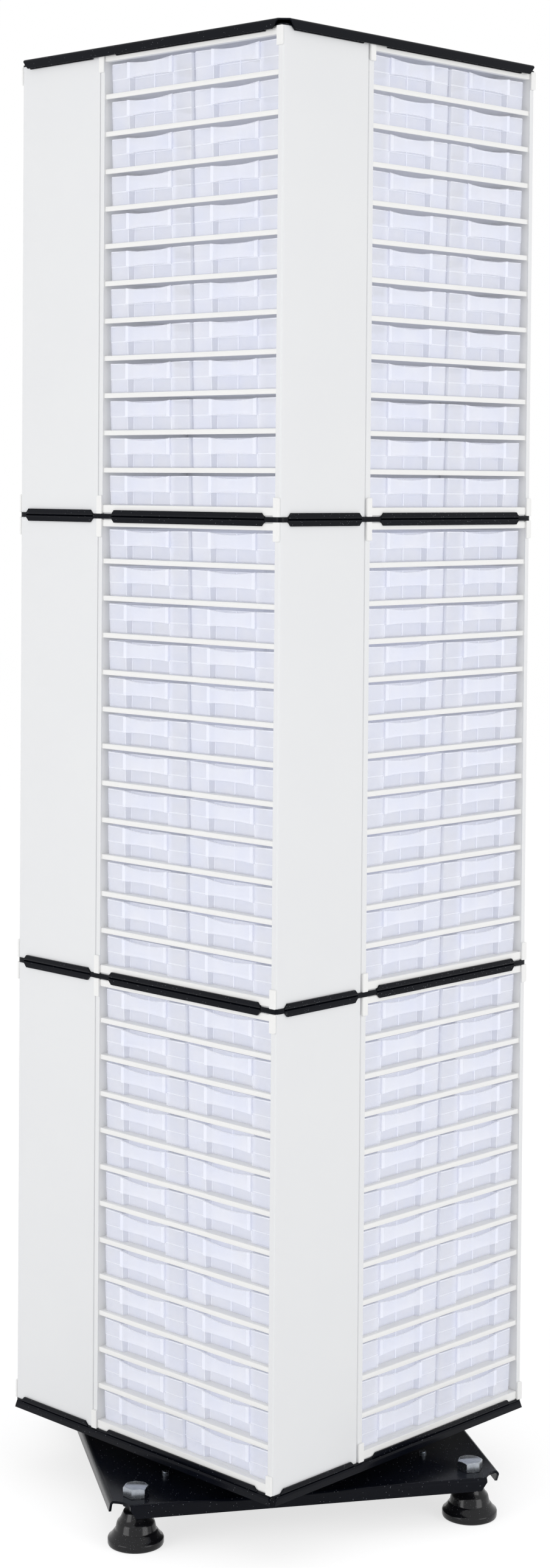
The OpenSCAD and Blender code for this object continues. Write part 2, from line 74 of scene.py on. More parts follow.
class Side(Enum):
    """The side of the tower that a cabinet's drawers open to, in quarter turns from the front."""

    FRONT = 0
    RIGHT = 1
    BACK = 2
    LEFT = 3

    @property
    def turn(self) -> Matrix:
        """The turn about the tower's axis that brings the front to this side."""
        return Matrix.Rotation(math.radians(90 * self.value), 4, "Z")


class Tier(Enum):
    """The three tiers, named for the CAD nodes that stand in them."""

    LOWER = 0
    MIDDLE = 1
    UPPER = 2


# Drafting


def box_mm(node: str) -> tuple[Vector, Vector]:
    """A CAD node's lowest and highest corner at rest, in millimetres."""
    low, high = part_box(node)
    return low / MM, high / MM


@dataclass
class Draft:
    """Points and faces of a piece while it is drawn.

    Each face has a paleness: 1 on a thick edge that gets a painted highlight, 0 on a wall, and less than 0
    where more light passes. Only the clear finish reads it.
    """

    points: list[Vector] = field(default_factory=list)
    faces: list[tuple[int, ...]] = field(default_factory=list)
    pales: list[float] = field(default_factory=list)

    def add(self, points: Iterable[Vector], faces: Iterable[Sequence[int]]) -> None:
        """Adds points and plain faces.

        Args:
            points: The new points.
            faces: Faces that count from the first new point.
        """
        start = len(self.points)
        self.points.extend(points)
        for face in faces:
            self.faces.append(tuple(start + index for index in face))
            self.pales.append(0.0)

    def block(self, corner: Sequence[float], opposite: Sequence[float], pale: float = 0.0) -> None:
        """Adds a box.

        Args:
            corner: Any of its corners.
            opposite: The corner across from it.
            pale: Paleness of its faces.
        """
        low = [min(pair) for pair in zip(corner, opposite)]
        high = [max(pair) for pair in zip(corner, opposite)]
        outline = rectangle(low, high)
        self.loft([at_height(outline, low[2]), at_height(outline, high[2])], [pale], pale)

    def loft(self, loops: Sequence[Loop], pales: Sequence[float] = (), cap_pale: float = 0.0) -> None:
        """Adds a closed skin over loops that have the same number of points.

        Args:
            loops: The loops, in order.
            pales: One paleness for each band between two loops, or none for plain bands.
            cap_pale: Paleness of the two end faces.
        """
        start = len(self.points)
        count = len(loops[0])
        for loop in loops:
            self.points.extend(Vector(p) for p in loop)
        for band in range(len(loops) - 1):
            for index in range(count):
                after = (index + 1) % count
                low, high = start + band * count, start + (band + 1) * count
                self.faces.append((low + index, low + after, high + after, high + index))
                self.pales.append(pales[band] if pales else 0.0)
        last = start + (len(loops) - 1) * count
        self.faces.append(tuple(reversed(range(start, start + count))))
        self.faces.append(tuple(range(last, last + count)))
        self.pales.extend((cap_pale, cap_pale))

    def lathe(self, profile: Sequence[Point], steps: int) -> None:
        """Adds a solid turned about the Z axis.

        Args:
            profile: Radius and height of each point from the bottom's edge to the top's.
            steps: Number of sides.
        """
        angles = [2 * math.pi * k / steps for k in range(steps)]
        loops = [
            [Vector((radius * math.cos(a), radius * math.sin(a), height)) for a in angles]
            for radius, height in profile
        ]
        self.loft(loops)

    def merge(self, other: "Draft", place: Matrix = Matrix.Identity(4)) -> None:
        """Adds another draft.

        Args:
            other: The draft to add.
            place: Its turn and shift.
        """
        start = len(self.points)
        self.points.extend(place @ p for p in other.points)
        self.faces.extend(tuple(start + index for index in face) for face in other.faces)
        self.pales.extend(other.pales)

    def mesh(self, name: str, closed: bool = True) -> Mesh:
        """Turns the draft into a mesh in metres.

        Args:
            name: Name of the mesh.
            closed: Whether every part is closed, so that its faces can be turned outwards.

        Returns:
            The mesh, with the paleness as a face attribute.
        """
        mesh = bpy.data.meshes.new(name)
        mesh.from_pydata([p * MM for p in self.points], [], self.faces)
        pale = mesh.attributes.new("pale", "FLOAT", "FACE")
        pale.data.foreach_set("value", self.pales)
        work = bmesh.new()
        work.from_mesh(mesh)
        if closed:
            bmesh.ops.recalc_face_normals(work, faces=work.faces)
        work.to_mesh(mesh)
        work.free()
        return mesh


def rectangle(low: Sequence[float], high: Sequence[float]) -> list[Point]:
    """Corners of a rectangle, seen from above and turning left."""
    return [(low[0], low[1]), (high[0], low[1]), (high[0], high[1]), (low[0], high[1])]


def arc(centre: Point, radius: float, start: float, end: float, steps: int) -> list[Point]:
    """Points on an arc.

    Args:
        centre: Centre of the arc.
        radius: Its radius.
        start: First angle in degrees.
        end: Last angle in degrees.
        steps: Number of chords.

    Returns:
        The points from the first angle to the last.
    """
    angles = [math.radians(start + (end - start) * k / steps) for k in range(steps + 1)]
    return [(centre[0] + radius * math.cos(a), centre[1] + radius * math.sin(a)) for a in angles]


def at_height(outline: Sequence[Point], z: float) -> Loop:
    """Lays a flat outline at a height."""
    return [Vector((x, y, z)) for x, y in outline]


def hexagon(across_flats: float) -> list[Point]:
    """Corners of a hexagon about the origin, the first one on the X axis."""
    return arc((0, 0), across_flats / math.sqrt(3), 0, 300, 5)


def softened(draft: Draft, name: str, width_mm: float, angle_deg: float = CREASE) -> Mesh:
    """Makes a draft's mesh with its sharp edges bevelled.

    Args:
        draft: The draft.
        name: Name of the mesh.
        width_mm: Width of the bevels.
        angle_deg: Edges sharper than this are bevelled.

    Returns:
        The bevelled mesh.
    """
    mesh = draft.mesh(name)
    work = bmesh.new()
    work.from_mesh(mesh)
    sharp = [e for e in work.edges if e.is_manifold and e.calc_face_angle() > math.radians(angle_deg)]
    bmesh.ops.bevel(
        work, geom=sharp, offset=width_mm * MM, segments=1, profile=0.5, affect="EDGES", clamp_overlap=True
    )
    work.to_mesh(mesh)
    work.free()
    return mesh


# Node trees


def add_node(tree: Tree, kind: str, inputs: dict | None = None, **settings: object) -> Node:
    """Adds a node to a tree, sets it and links it.

    Args:
        tree: The tree.
        kind: Blender's type name of the node.
        inputs: For each input, by name or number, a value or the socket that feeds it.
        **settings: Values of the node's own attributes.

    Returns:
        The node.
    """
    node = tree.nodes.new(kind)
    for key, value in settings.items():
        setattr(node, key, value)
    for key, value in (inputs or {}).items():
        if isinstance(value, Socket):
            tree.links.new(value, node.inputs[key])
        else:
            node.inputs[key].default_value = value
    return node


def linear(colour: str) -> tuple[float, float, float, float]:
    """Turns an sRGB colour into a linear one.

    Args:
        colour: The colour as # and six hexadecimal digits.

    Returns:
        Red, green, blue and a full alpha.
    """
    values = [int(colour[i : i + 2], 16) / 255 for i in (1, 3, 5)]
    turned = [v / 12.92 if v <= 0.04045 else ((v + 0.055) / 1.055) ** 2.4 for v in values]
    return (*turned, 1.0)


# Finishes


@dataclass(frozen=True)
class Finish:
    """A surface: what it is made of and how its surface was made.

    The colour drifts slowly to the mottle colour. The grain is the fine unevenness that gives the
    gloss its spread and the surface its small bumps.
    """

    name: str
    slot: str
    colour: str
    mottle_colour: str
    mottle_mm: float
    roughness: float
    rough_spread: float
    grain_mm: float
    grain_height_mm: float
    metallic: float = 0.0
    specular: float = 0.5
    mottle_detail: float = 3.0
    grain_detail: float = 2.0

    def material(self) -> bpy.types.Material:
        """Builds the material once and returns it."""
        return bpy.data.materials.get(self.name) or self.build()

    def build(self) -> bpy.types.Material:
        """Builds the material on its Principled shader.

        Returns:
            The material.
        """
        material = bpy.data.materials.new(self.name)
        material.use_nodes = True
        tree = material.node_tree
        shader = tree.nodes["Principled BSDF"]
        shader.inputs["Base Color"].default_value = linear(self.colour)
        shader.inputs["Metallic"].default_value = self.metallic
        shader.inputs["Specular IOR Level"].default_value = self.specular
        place = add_node(tree, "ShaderNodeTexCoord").outputs["Object"]
        self.colour_nodes(tree, shader, place)
        self.gloss_nodes(tree, shader, place)
        self.extra_nodes(tree, shader, place)
        return material

    def lay_over(self, tree: Tree, shader: Node, share: Socket, colour: str) -> None:
        """Lays a colour over the base colour.

        Args:
            tree: The material's tree.
            shader: Its Principled shader.
            share: How much of the new colour shows, from 0 to 1.
            colour: The new colour.
        """
        base = shader.inputs["Base Color"]
        under = base.links[0].from_socket if base.is_linked else tuple(base.default_value)
        colours = {MIX_SHARE: share, MIX_UNDER: under, MIX_OVER: linear(colour)}
        mix = add_node(tree, "ShaderNodeMix", colours, data_type="RGBA")
        tree.links.new(mix.outputs[MIX_RESULT], base)

    def colour_nodes(self, tree: Tree, shader: Node, place: Socket) -> None:
        """Feeds the base colour with the slow mottle.

        Args:
            tree: The material's tree.
            shader: Its Principled shader.
            place: The place on the object, which the patterns are laid out by.
        """
        sizes = {"Vector": place, "Scale": 1 / (self.mottle_mm * MM), "Detail": self.mottle_detail}
        mottle = add_node(tree, "ShaderNodeTexNoise", sizes)
        self.lay_over(tree, shader, mottle.outputs["Fac"], self.mottle_colour)

    def gloss_nodes(self, tree: Tree, shader: Node, place: Socket) -> None:
        """Feeds roughness and bump with the fine grain.

        Args:
            tree: The material's tree.
            shader: Its Principled shader.
            place: The place on the object, which the patterns are laid out by.
        """
        sizes = {"Vector": place, "Scale": 1 / (self.grain_mm * MM), "Detail": self.grain_detail}
        grain = add_node(tree, "ShaderNodeTexNoise", sizes).outputs["Fac"]
        low, high = self.roughness - self.rough_spread, self.roughness + self.rough_spread
        rough = add_node(tree, "ShaderNodeMapRange", {"Value": grain, "To Min": low, "To Max": high})
        tree.links.new(rough.outputs["Result"], shader.inputs["Roughness"])
        bumps = {"Height": grain, "Distance": self.grain_height_mm * MM, "Strength": 1.0}
        bump = add_node(tree, "ShaderNodeBump", bumps)
        tree.links.new(bump.outputs["Normal"], shader.inputs["Normal"])

    def extra_nodes(self, tree: Tree, shader: Node, place: Socket) -> None:
        """Adds what only some finishes have."""


@dataclass(frozen=True)
class DustyFinish(Finish):
    """A dark gloss surface with fine pale dust on it."""

    dust_colour: str = "#8d9096"
    dust_mm: float = 2.2
    dust_share: float = 0.30
    speck_r: float = 0.13

    def extra_nodes(self, tree: Tree, shader: Node, place: Socket) -> None:
        """Lays small pale specks over the colour; each cell of the pattern holds one or none.

        Args:
            tree: The material's tree.
            shader: Its Principled shader.
            place: The place on the object, which the patterns are laid out by.
        """
        sizes = {"Vector": place, "Scale": 1 / (self.dust_mm * MM)}
        cells = add_node(tree, "ShaderNodeTexVoronoi", sizes, feature="F1").outputs
        reach = {0: cells["Distance"], 1: self.speck_r}
        near = add_node(tree, "ShaderNodeMath", reach, operation="LESS_THAN")
        pick = add_node(tree, "ShaderNodeSeparateColor", {"Color": cells["Color"]})
        choice = {0: pick.outputs["Red"], 1: self.dust_share}
        some = add_node(tree, "ShaderNodeMath", choice, operation="LESS_THAN")
        both = {0: near.outputs[0], 1: some.outputs[0]}
        speck = add_node(tree, "ShaderNodeMath", both, operation="MULTIPLY")
        self.lay_over(tree, shader, speck.outputs[0], self.dust_colour)


@dataclass(frozen=True)
class ClearFinish(Finish):
    """A clear moulding whose thick edges get a painted highlight, paler than its walls, and let less light
    through.
    """

    edge_highlight_colour: str = "#f3f5fb"
    thin_cover: float = 0.06
    edge_cover: float = 0.80
    painted_glow: float = 0.15
    painted_glow_colour: str = "#edeff7"
    ior: float = 1.49

    def extra_nodes(self, tree: Tree, shader: Node, place: Socket) -> None:
        """Paints a highlight on the marked faces, lets light through the rest and adds a faint painted glow
        as emission.

        Args:
            tree: The material's tree.
            shader: Its Principled shader.
            place: The place on the object; not used here.
        """
        # Painted glow: the moulding emits light though it is no lamp, which brightens the drawers and the
        # spaces behind them.
        shader.inputs["Emission Color"].default_value = linear(self.painted_glow_colour)
        shader.inputs["Emission Strength"].default_value = self.painted_glow
        shader.inputs["IOR"].default_value = self.ior
        pale = add_node(tree, "ShaderNodeAttribute", attribute_name="pale").outputs["Fac"]
        # Painted highlight: the marked faces are mixed towards the pale edge colour.
        self.lay_over(tree, shader, pale, self.edge_highlight_colour)
        span = {"Value": pale, "From Min": -1.0, "To Min": self.thin_cover, "To Max": self.edge_cover}
        cover = add_node(tree, "ShaderNodeMapRange", span)
        tree.links.new(cover.outputs["Result"], shader.inputs["Alpha"])


# Polyester powder coat on folded steel: near-black gloss with a faint orange peel and a little dust.
POWDER_COAT = DustyFinish(
    "powder_coat", "black_powder_coat", "#06080f", "#0a0d15", mottle_mm=60, roughness=0.24,
    rough_spread=0.05, grain_mm=2.5, grain_height_mm=0.012, specular=0.10, dust_share=0.18,
)
# Baked enamel on sheet steel: even warm grey-white, low gloss.
ENAMEL = Finish(
    "baked_enamel", "white_casing_enamel", "#e9eaeb", "#e6e7e9", mottle_mm=90, roughness=0.42,
    rough_spread=0.06, grain_mm=1.5, grain_height_mm=0.006,
)
# Impact polystyrene mouldings: slightly whiter and a little glossier than the casing.
FRAME_PLASTIC = Finish(
    "white_moulding", "white_frame_plastic", "#f3f3f2", "#efefee", mottle_mm=50, roughness=0.38,
    rough_spread=0.05, grain_mm=0.9, grain_height_mm=0.004,
)
# Clear polypropylene mouldings: milky, faintly blue, with a painted highlight along every edge and a faint
# painted glow.
DRAWER_PLASTIC = ClearFinish(
    "clear_moulding", "clear_drawer_plastic", "#f3f3f5", "#e3e7f7", mottle_mm=30, roughness=0.30,
    rough_spread=0.06, grain_mm=3.0, grain_height_mm=0.01,
)
# Bright zinc on steel fasteners: pale metal with a crystalline cast.
ZINC = Finish(
    "bright_zinc", "zinc_plated_steel", "#b4b9c0", "#8f959c", mottle_mm=4, roughness=0.24,
    rough_spread=0.10, grain_mm=0.8, grain_height_mm=0.01, metallic=1.0,
)
# Ground bearing steel: an even grey metal with a soft sheen.
BEARING_STEEL = Finish(
    "ground_steel", "bearing_steel", "#9ba1a8", "#8b9198", mottle_mm=12, roughness=0.25,
    rough_spread=0.08, grain_mm=0.6, grain_height_mm=0.004, metallic=1.0,
)
# Natural nylon, moulded: a dull cream cage for the ball ring.
NYLON = Finish(
    "natural_nylon", "cage_nylon", "#d9d2b6", "#d2caab", mottle_mm=20, roughness=0.45,
    rough_spread=0.05, grain_mm=1.0, grain_height_mm=0.01,
)
# Moulded black feet: deep gloss with more dust than the plates have.
FOOT_PLASTIC = DustyFinish(
    "foot_moulding", "black_foot_plastic", "#0b0b0d", "#141417", mottle_mm=15, roughness=0.16,
    rough_spread=0.06, grain_mm=1.6, grain_height_mm=0.01, specular=0.3, dust_mm=1.4, dust_share=0.35,
)


# Pieces


@dataclass
class Piece:
    """A finished piece: its mesh, its surface, the body it rides on and the nodes it stands for."""

    name: str
    mesh: Mesh
    finish: Finish
    body: str
    nodes: tuple[str, ...]
    bevel_mm: float = 0.0
    sheet_mm: float = 0.0
    smooth_deg: float = CREASE

    def place(self) -> None:
        """Makes the object, gives it its modifiers and surface, sets it on its body and hides the CAD nodes
        it stands for.
        """
        thing = bpy.data.objects.new(self.name, self.mesh)
        bpy.context.scene.collection.objects.link(thing)
        self.mesh.materials.clear()
        self.mesh.materials.append(self.finish.material())
        self.mesh.polygons.foreach_set("use_smooth", [True] * len(self.mesh.polygons))
        self.mesh.set_sharp_from_angle(angle=math.radians(self.smooth_deg))
        if self.sheet_mm:
            sheet = thing.modifiers.new("sheet", "SOLIDIFY")
            sheet.thickness = self.sheet_mm * MM
            sheet.offset = -1
            sheet.use_even_offset = True
        if self.bevel_mm:
            bevel = thing.modifiers.new("edges", "BEVEL")
            bevel.width = self.bevel_mm * MM
            bevel.segments = 2
            bevel.limit_method = "ANGLE"
            bevel.angle_limit = math.radians(self.smooth_deg)
            bevel.harden_normals = True
        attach(thing, self.body)
        if self.nodes:
            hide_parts(*self.nodes)
        LOG.info("%s: %d faces on %s", self.name, len(self.mesh.polygons), self.body)


def dress_node(node: str, finish: Finish) -> None:
    """Gives a CAD node that stays its surface.

    Args:
        node: The node's name.
        finish: Its surface.
    """
    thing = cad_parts[node]
    thing.data.materials.clear()
    thing.data.materials.append(finish.material())
    LOG.info("%s: kept, %s", node, finish.name)


@dataclass
class Repeat:
    """A Geometry Nodes tree that sets a shape out in rows, columns, tiers and quarter turns."""

    name: str = "set_out"

    def tree(self) -> Tree:
        """Builds the tree once and returns it."""
        return bpy.data.node_groups.get(self.name) or self.build()

    def build(self) -> Tree:
        """Builds the tree: three lines of points inside each other, then turns about the axis.

        Returns:
            The tree.
        """
        tree = bpy.data.node_groups.new(self.name, "GeometryNodeTree")
        tree.interface.new_socket("Geometry", in_out="OUTPUT", socket_type="NodeSocketGeometry")
        titles = {
            "Geometry": ("Geometry",),
            "Int": ("Rows", "Columns", "Tiers", "Turns"),
            "Vector": ("Row Step", "Column Step", "Tier Step", "First Place"),
            "Float": ("First Turn", "Turn Step"),
            "Material": ("Material",),
        }
        for kind, names in titles.items():
            for title in names:
                tree.interface.new_socket(title, in_out="INPUT", socket_type=f"NodeSocket{kind}")
        given = add_node(tree, "NodeGroupInput").outputs
        start = {"Geometry": given["Geometry"], "Translation": given["First Place"]}
        shape = add_node(tree, "GeometryNodeTransform", start).outputs["Geometry"]
        for count, step in (("Rows", "Row Step"), ("Columns", "Column Step"), ("Tiers", "Tier Step")):
            spread = {"Count": given[count], "Offset": given[step]}
            line = add_node(tree, "GeometryNodeMeshLine", spread, mode="OFFSET")
            copies = {"Points": line.outputs["Mesh"], "Instance": shape}
            shape = add_node(tree, "GeometryNodeInstanceOnPoints", copies).outputs["Instances"]
        spread = {"Count": given["Turns"], "Offset": (0, 0, 0)}
        turns = add_node(tree, "GeometryNodeMeshLine", spread, mode="OFFSET")
        index = add_node(tree, "GeometryNodeInputIndex").outputs[0]
        sums = {0: index, 1: given["Turn Step"], 2: given["First Turn"]}
        angle = add_node(tree, "ShaderNodeMath", sums, operation="MULTIPLY_ADD")
        turn = add_node(tree, "ShaderNodeCombineXYZ", {"Z": angle.outputs[0]})
        copies = {"Points": turns.outputs["Mesh"], "Instance": shape, "Rotation": turn.outputs[0]}
        shape = add_node(tree, "GeometryNodeInstanceOnPoints", copies).outputs["Instances"]
        real = add_node(tree, "GeometryNodeRealizeInstances", {"Geometry": shape}).outputs[0]
        dress = {"Geometry": real, "Material": given["Material"]}
        dressed = add_node(tree, "GeometryNodeSetMaterial", dress).outputs[0]
        add_node(tree, "NodeGroupOutput", {"Geometry": dressed})
        return tree

    def run(self, name: str, shape: Mesh, finish: Finish, **inputs: object) -> Mesh:
        """Sets a shape out and returns the result as a plain mesh.

        Args:
            name: Name of the new mesh.
            shape: The mesh to repeat, in metres.
            finish: Surface of the result.
            **inputs: The tree's inputs by name, with _ for a space. Counts are 1 where left out.

        Returns:
            The repeated mesh.
        """
        holder = bpy.data.objects.new(name, shape)
        bpy.context.scene.collection.objects.link(holder)
        modifier = holder.modifiers.new(self.name, "NODES")
        modifier.node_group = self.tree()
        values = {"Rows": 1, "Columns": 1, "Tiers": 1, "Turns": 1, "Turn Step": math.pi / 2}
        values["Material"] = finish.material()
        values.update({key.replace("_", " "): value for key, value in inputs.items()})
        for socket in self.tree().interface.items_tree:
            if socket.in_out == "INPUT" and socket.name in values:
                modifier[socket.identifier] = values[socket.name]
        holder.update_tag()
        depsgraph = bpy.context.evaluated_depsgraph_get()
        mesh = bpy.data.meshes.new_from_object(holder.evaluated_get(depsgraph))
        mesh.name = name
        holder.modifiers.remove(modifier)
        bpy.data.objects.remove(holder)
        return mesh


REPEAT = Repeat()


# Folded plates


@dataclass
class FoldedPlate:
    """A square sheet under z = 0 with flanges folded down from parts of its four sides.

    Corner is the -Y side's outline up to its first fold, and each fold is where a flange starts and
    ends along X. Edge is how far out the sheet reaches between the flanges, or 0 where it ends at
    their roots. Slant is how far a flange's ends are cut back at its free edge.
    """

    half: float
    drop: float
    sheet: float = 2.0
    bend_r: float = 3.0
    edge: float = 0.0
    corner: list[Point] = field(default_factory=list)
    folds: list[Point] = field(default_factory=list)
    slant: float = 5.0
    slant_from: float = 2.0
    bend_steps: int = 7
    flange_steps: int = 4
    edge_bevel: float = 0.35

    def side_path(self) -> list[tuple[Point, int]]:
        """The -Y side's outline.

        Returns:
            For each point its place and the fold that starts there, or -1.
        """
        root = -self.half + self.bend_r
        path = [(point, -1) for point in self.corner]
        for number, (start, end) in enumerate(self.folds):
            fold = [((start, root), number), ((end, root), -1)]
            if self.edge:
                fold = [((start, -self.edge), -1), *fold, ((end, -self.edge), -1)]
            path += fold
        return path

    def drop_rows(self) -> list[tuple[float, float, float]]:
        """The rows of points of a fold past its root.

        Returns:
            For each row how far out it lies, how far down, and how far its ends are cut back.
        """
        rows = []
        for k in range(1, self.bend_steps + 1):
            angle = math.pi / 2 * k / self.bend_steps
            rows.append((self.bend_r * math.sin(angle), self.bend_r * (1 - math.cos(angle))))
        for k in range(1, self.flange_steps + 1):
            rows.append((self.bend_r, self.bend_r + (self.drop - self.bend_r) * k / self.flange_steps))
        span = self.drop - self.slant_from
        return [(out, down, self.slant * max(0.0, (down - self.slant_from) / span)) for out, down in rows]

    def draft(self) -> Draft:
        """Draws the sheet's outer face.

        Returns:
            The face, with its flat part on z = 0.
        """
        draft = Draft()
        outline: list[Vector] = []
        roots: list[tuple[Side, int, int]] = []
        for side in Side:
            for (x, y), fold in self.side_path():
                if fold >= 0:
                    roots.append((side, fold, len(outline)))
                outline.append(side.turn @ Vector((x, y, 0)))
        draft.add(outline, [range(len(outline))])
        for side, fold, first in roots:
            start, end = self.folds[fold]
            before = (first, first + 1)
            for out, down, cut in self.drop_rows():
                y = -self.half + self.bend_r - out
                ends = [Vector((start + cut, y, -down)), Vector((end - cut, y, -down))]
                here = len(draft.points)
                draft.points.extend(side.turn @ p for p in ends)
                draft.faces.append((here, here + 1, before[1], before[0]))
                draft.pales.append(0.0)
                before = (here, here + 1)
        return draft

    def place(self, node: str, body: str, top_z: float, upward: bool = False, turn: float = 0.0) -> None:
        """Makes the plate's piece.

        Args:
            node: CAD node that it stands for.
            body: Body that it rides on.
            top_z: Height of its outer face.
            upward: Whether its flanges stand up instead of down.
            turn: Turn about the tower's axis in degrees.
        """
        flip = Matrix.Diagonal((1, 1, -1 if upward else 1, 1))
        turned = Matrix.Rotation(math.radians(turn), 4, "Z")
        placed = Draft()
        placed.merge(self.draft(), Matrix.Translation((0, 0, top_z)) @ turned @ flip)
        if upward:
            placed.faces = [tuple(reversed(face)) for face in placed.faces]
        name = f"{node}_sheet"
        mesh = placed.mesh(name, closed=False)
        Piece(name, mesh, POWDER_COAT, body, (node,), bevel_mm=self.edge_bevel, sheet_mm=self.sheet).place()


@dataclass
class Plates:
    """The tower's folded plates: lipped ones round each tier's ends, the bottom pan and the cap."""

    lip_from: float = 14.0
    lip_to: float = 138.0
    long_from: float = 171.0
    long_back: float = 26.0
    neck_back: float = 1.0
    corner_r: float = 6.0
    corner_steps: int = 3
    pan_relief: float = 7.0
    pan_splay: float = 3.0
    cap_relief: float = 12.0
    cap_slant: float = 8.0
    slant_from: float = 3.0
    lip_sheet: float = 2.0
    lip_bend_r: float = 2.2
    seam: float = 0.1

    def lipped(self, reach: float = 0.0) -> FoldedPlate:
        """The plate that holds four cabinets' ends between its lips.

        Args:
            reach: How much thicker the plate is, towards the plate that it is clamped to.

        Returns:
            The plate.
        """
        low, high = box_mm("lower_joint_under_plate")
        half = high.x
        edge = half - self.neck_back
        centre = (-edge + self.corner_r, -edge + self.corner_r)
        short = (self.lip_from - half, self.lip_to - half)
        return FoldedPlate(
            half,
            high.z - low.z + reach,
            sheet=self.lip_sheet + reach,
            bend_r=self.lip_bend_r + reach,
            edge=edge,
            corner=arc(centre, self.corner_r, 180, 270, self.corner_steps),
            folds=[short, (self.long_from - half, half - self.long_back)],
        )

    def square_pan(self, node: str, relief: float, slant: float) -> FoldedPlate:
        """A plate with one flange along each side.

        Args:
            node: CAD node that gives its size.
            relief: How far each flange stops short of the corner.
            slant: How much further in its free edge is at each end.

        Returns:
            The plate.
        """
        low, high = box_mm(node)
        half = high.x
        plate = FoldedPlate(half, high.z - low.z, slant=slant, slant_from=self.slant_from)
        plate.folds = [(-half + relief, half - relief)]
        plate.corner = [(-half + plate.bend_r, -half + relief)]
        return plate

    def build(self) -> None:
        """Makes every plate of the tower."""
        gap = box_mm("lower_joint_over_plate")[0].z - box_mm("lower_joint_under_plate")[1].z
        reach = (gap - self.seam) / 2
        for joint in ("lower_joint", "upper_joint"):
            under, over = f"{joint}_under_plate", f"{joint}_over_plate"
            self.lipped(reach).place(under, "tower", box_mm(under)[1].z + reach)
            self.lipped(reach).place(over, "tower", box_mm(over)[0].z - reach, upward=True)
        self.lipped().place("top_lip_plate", "tower", box_mm("top_lip_plate")[1].z)
        self.lipped().place("bottom_lip_plate", "tower", box_mm("bottom_lip_plate")[0].z, upward=True)
        pan = self.square_pan("bottom_pan", self.pan_relief, -self.pan_splay)
        pan.place("bottom_pan", "tower", box_mm("bottom_pan")[1].z)
        cap = self.square_pan("top_cap", self.cap_relief, self.cap_slant)
        cap.place("top_cap", "tower", box_mm("top_cap")[1].z)


# Base


@dataclass
class Bolt:
    """A hexagon-headed screw, drawn about the Z axis.

    The radii of the washer face and of the top are shares of half the distance across the flats.
    The thread is a row of ridges. The ridge is given in shares of the pitch: where it leaves the
    root, where its crest starts and ends, and where it is back at the root. The depth is a share of
    the pitch too, and the tip's chamfer a share of the depth.
    """

    across_flats: float
    head_h: float
    radius: float
    pitch: float
    washer_h: float = 0.5
    washer_share: float = 0.96
    top_share: float = 0.985
    chamfer_deg: float = 30.0
    head_steps: int = 48
    depth_share: float = 0.54
    ridge: tuple[float, ...] = (0.1, 0.45, 0.6, 0.95)
    tip_share: float = 0.4
    thread_steps: int = 32
    crease: float = 28.0

    def head_ring(self, reach: float, z: float) -> Loop:
        """The head's outline at a height, with its corners cut to a radius.

        Args:
            reach: Radius that the corners are cut to.
            z: Height of the outline.

        Returns:
            The points, eight to a flat.
        """
        points = []
        for k in range(self.head_steps):
            angle = 2 * math.pi * k / self.head_steps
            to_flat = angle % (math.pi / 3) - math.pi / 6
            radius = min(reach, self.across_flats / 2 / math.cos(to_flat))
            points.append(Vector((radius * math.cos(angle), radius * math.sin(angle), z)))
        return points

    def head(self) -> Draft:
        """Draws the head: washer face, six flats, turned-off corners and a flat top.

        Returns:
            The head, standing on z = 0.
        """
        flat_r, corner_r = self.across_flats / 2, self.across_flats / math.sqrt(3)
        washer_r = self.washer_share * flat_r
        chamfer = (corner_r - flat_r) * math.tan(math.radians(self.chamfer_deg))
        levels = [
            (washer_r, 0),
            (washer_r, self.washer_h),
            (corner_r, self.washer_h),
            (corner_r, self.head_h - chamfer),
            ((corner_r + flat_r) / 2, self.head_h - chamfer / 2),
            (flat_r * self.top_share, self.head_h),
        ]
        draft = Draft()
        draft.loft([self.head_ring(reach, z) for reach, z in levels])
        return draft

    def thread(self, low: float, high: float) -> Draft:
        """Draws the threaded bar, with a chamfered upper end.

        Args:
            low: Height of its lower end.
            high: Height of its upper end.

        Returns:
            The bar.
        """
        depth = self.depth_share * self.pitch
        root_r = self.radius - depth
        rise, crest_from, crest_to, fall = (share * self.pitch for share in self.ridge)
        profile: list[Point] = [(root_r, low)]
        z = low
        while z + self.pitch < high - depth:
            profile += [(root_r, z + rise), (self.radius, z + crest_from)]
            profile += [(self.radius, z + crest_to), (root_r, z + fall)]
            z += self.pitch
        tip = self.tip_share * depth
        profile += [(self.radius - tip, high - depth + tip), (root_r, high)]
        draft = Draft()
        draft.lathe(profile, self.thread_steps)
        return draft


@dataclass
class Foot:
    """A stepped foot, as the radius and height of each point up its side."""

    rim: tuple[Point, ...] = ((31, 0), (32.4, 0.7), (33, 2.2), (33, 7.4), (32.5, 8.5), (31.4, 9))
    cone: tuple[Point, ...] = ((29, 12), (26.6, 15), (25.6, 16.4), (24.6, 17))
    collar: tuple[Point, ...] = ((24.0, 18), (22.6, 25), (21.6, 27.2), (20, 28.6))
    neck: tuple[Point, ...] = ((17.6, 32.5), (15.4, 37.8), (14.6, 39.4))
    top_r: float = 13.6
    steps: int = 48
    crease: float = 50.0

    def draft(self, top: float) -> Draft:
        """Draws the foot as a turned moulding.

        Args:
            top: Its height.

        Returns:
            The foot, standing on z = 0.
        """
        draft = Draft()
        draft.lathe([*self.rim, *self.cone, *self.collar, *self.neck, (self.top_r, top)], self.steps)
        return draft


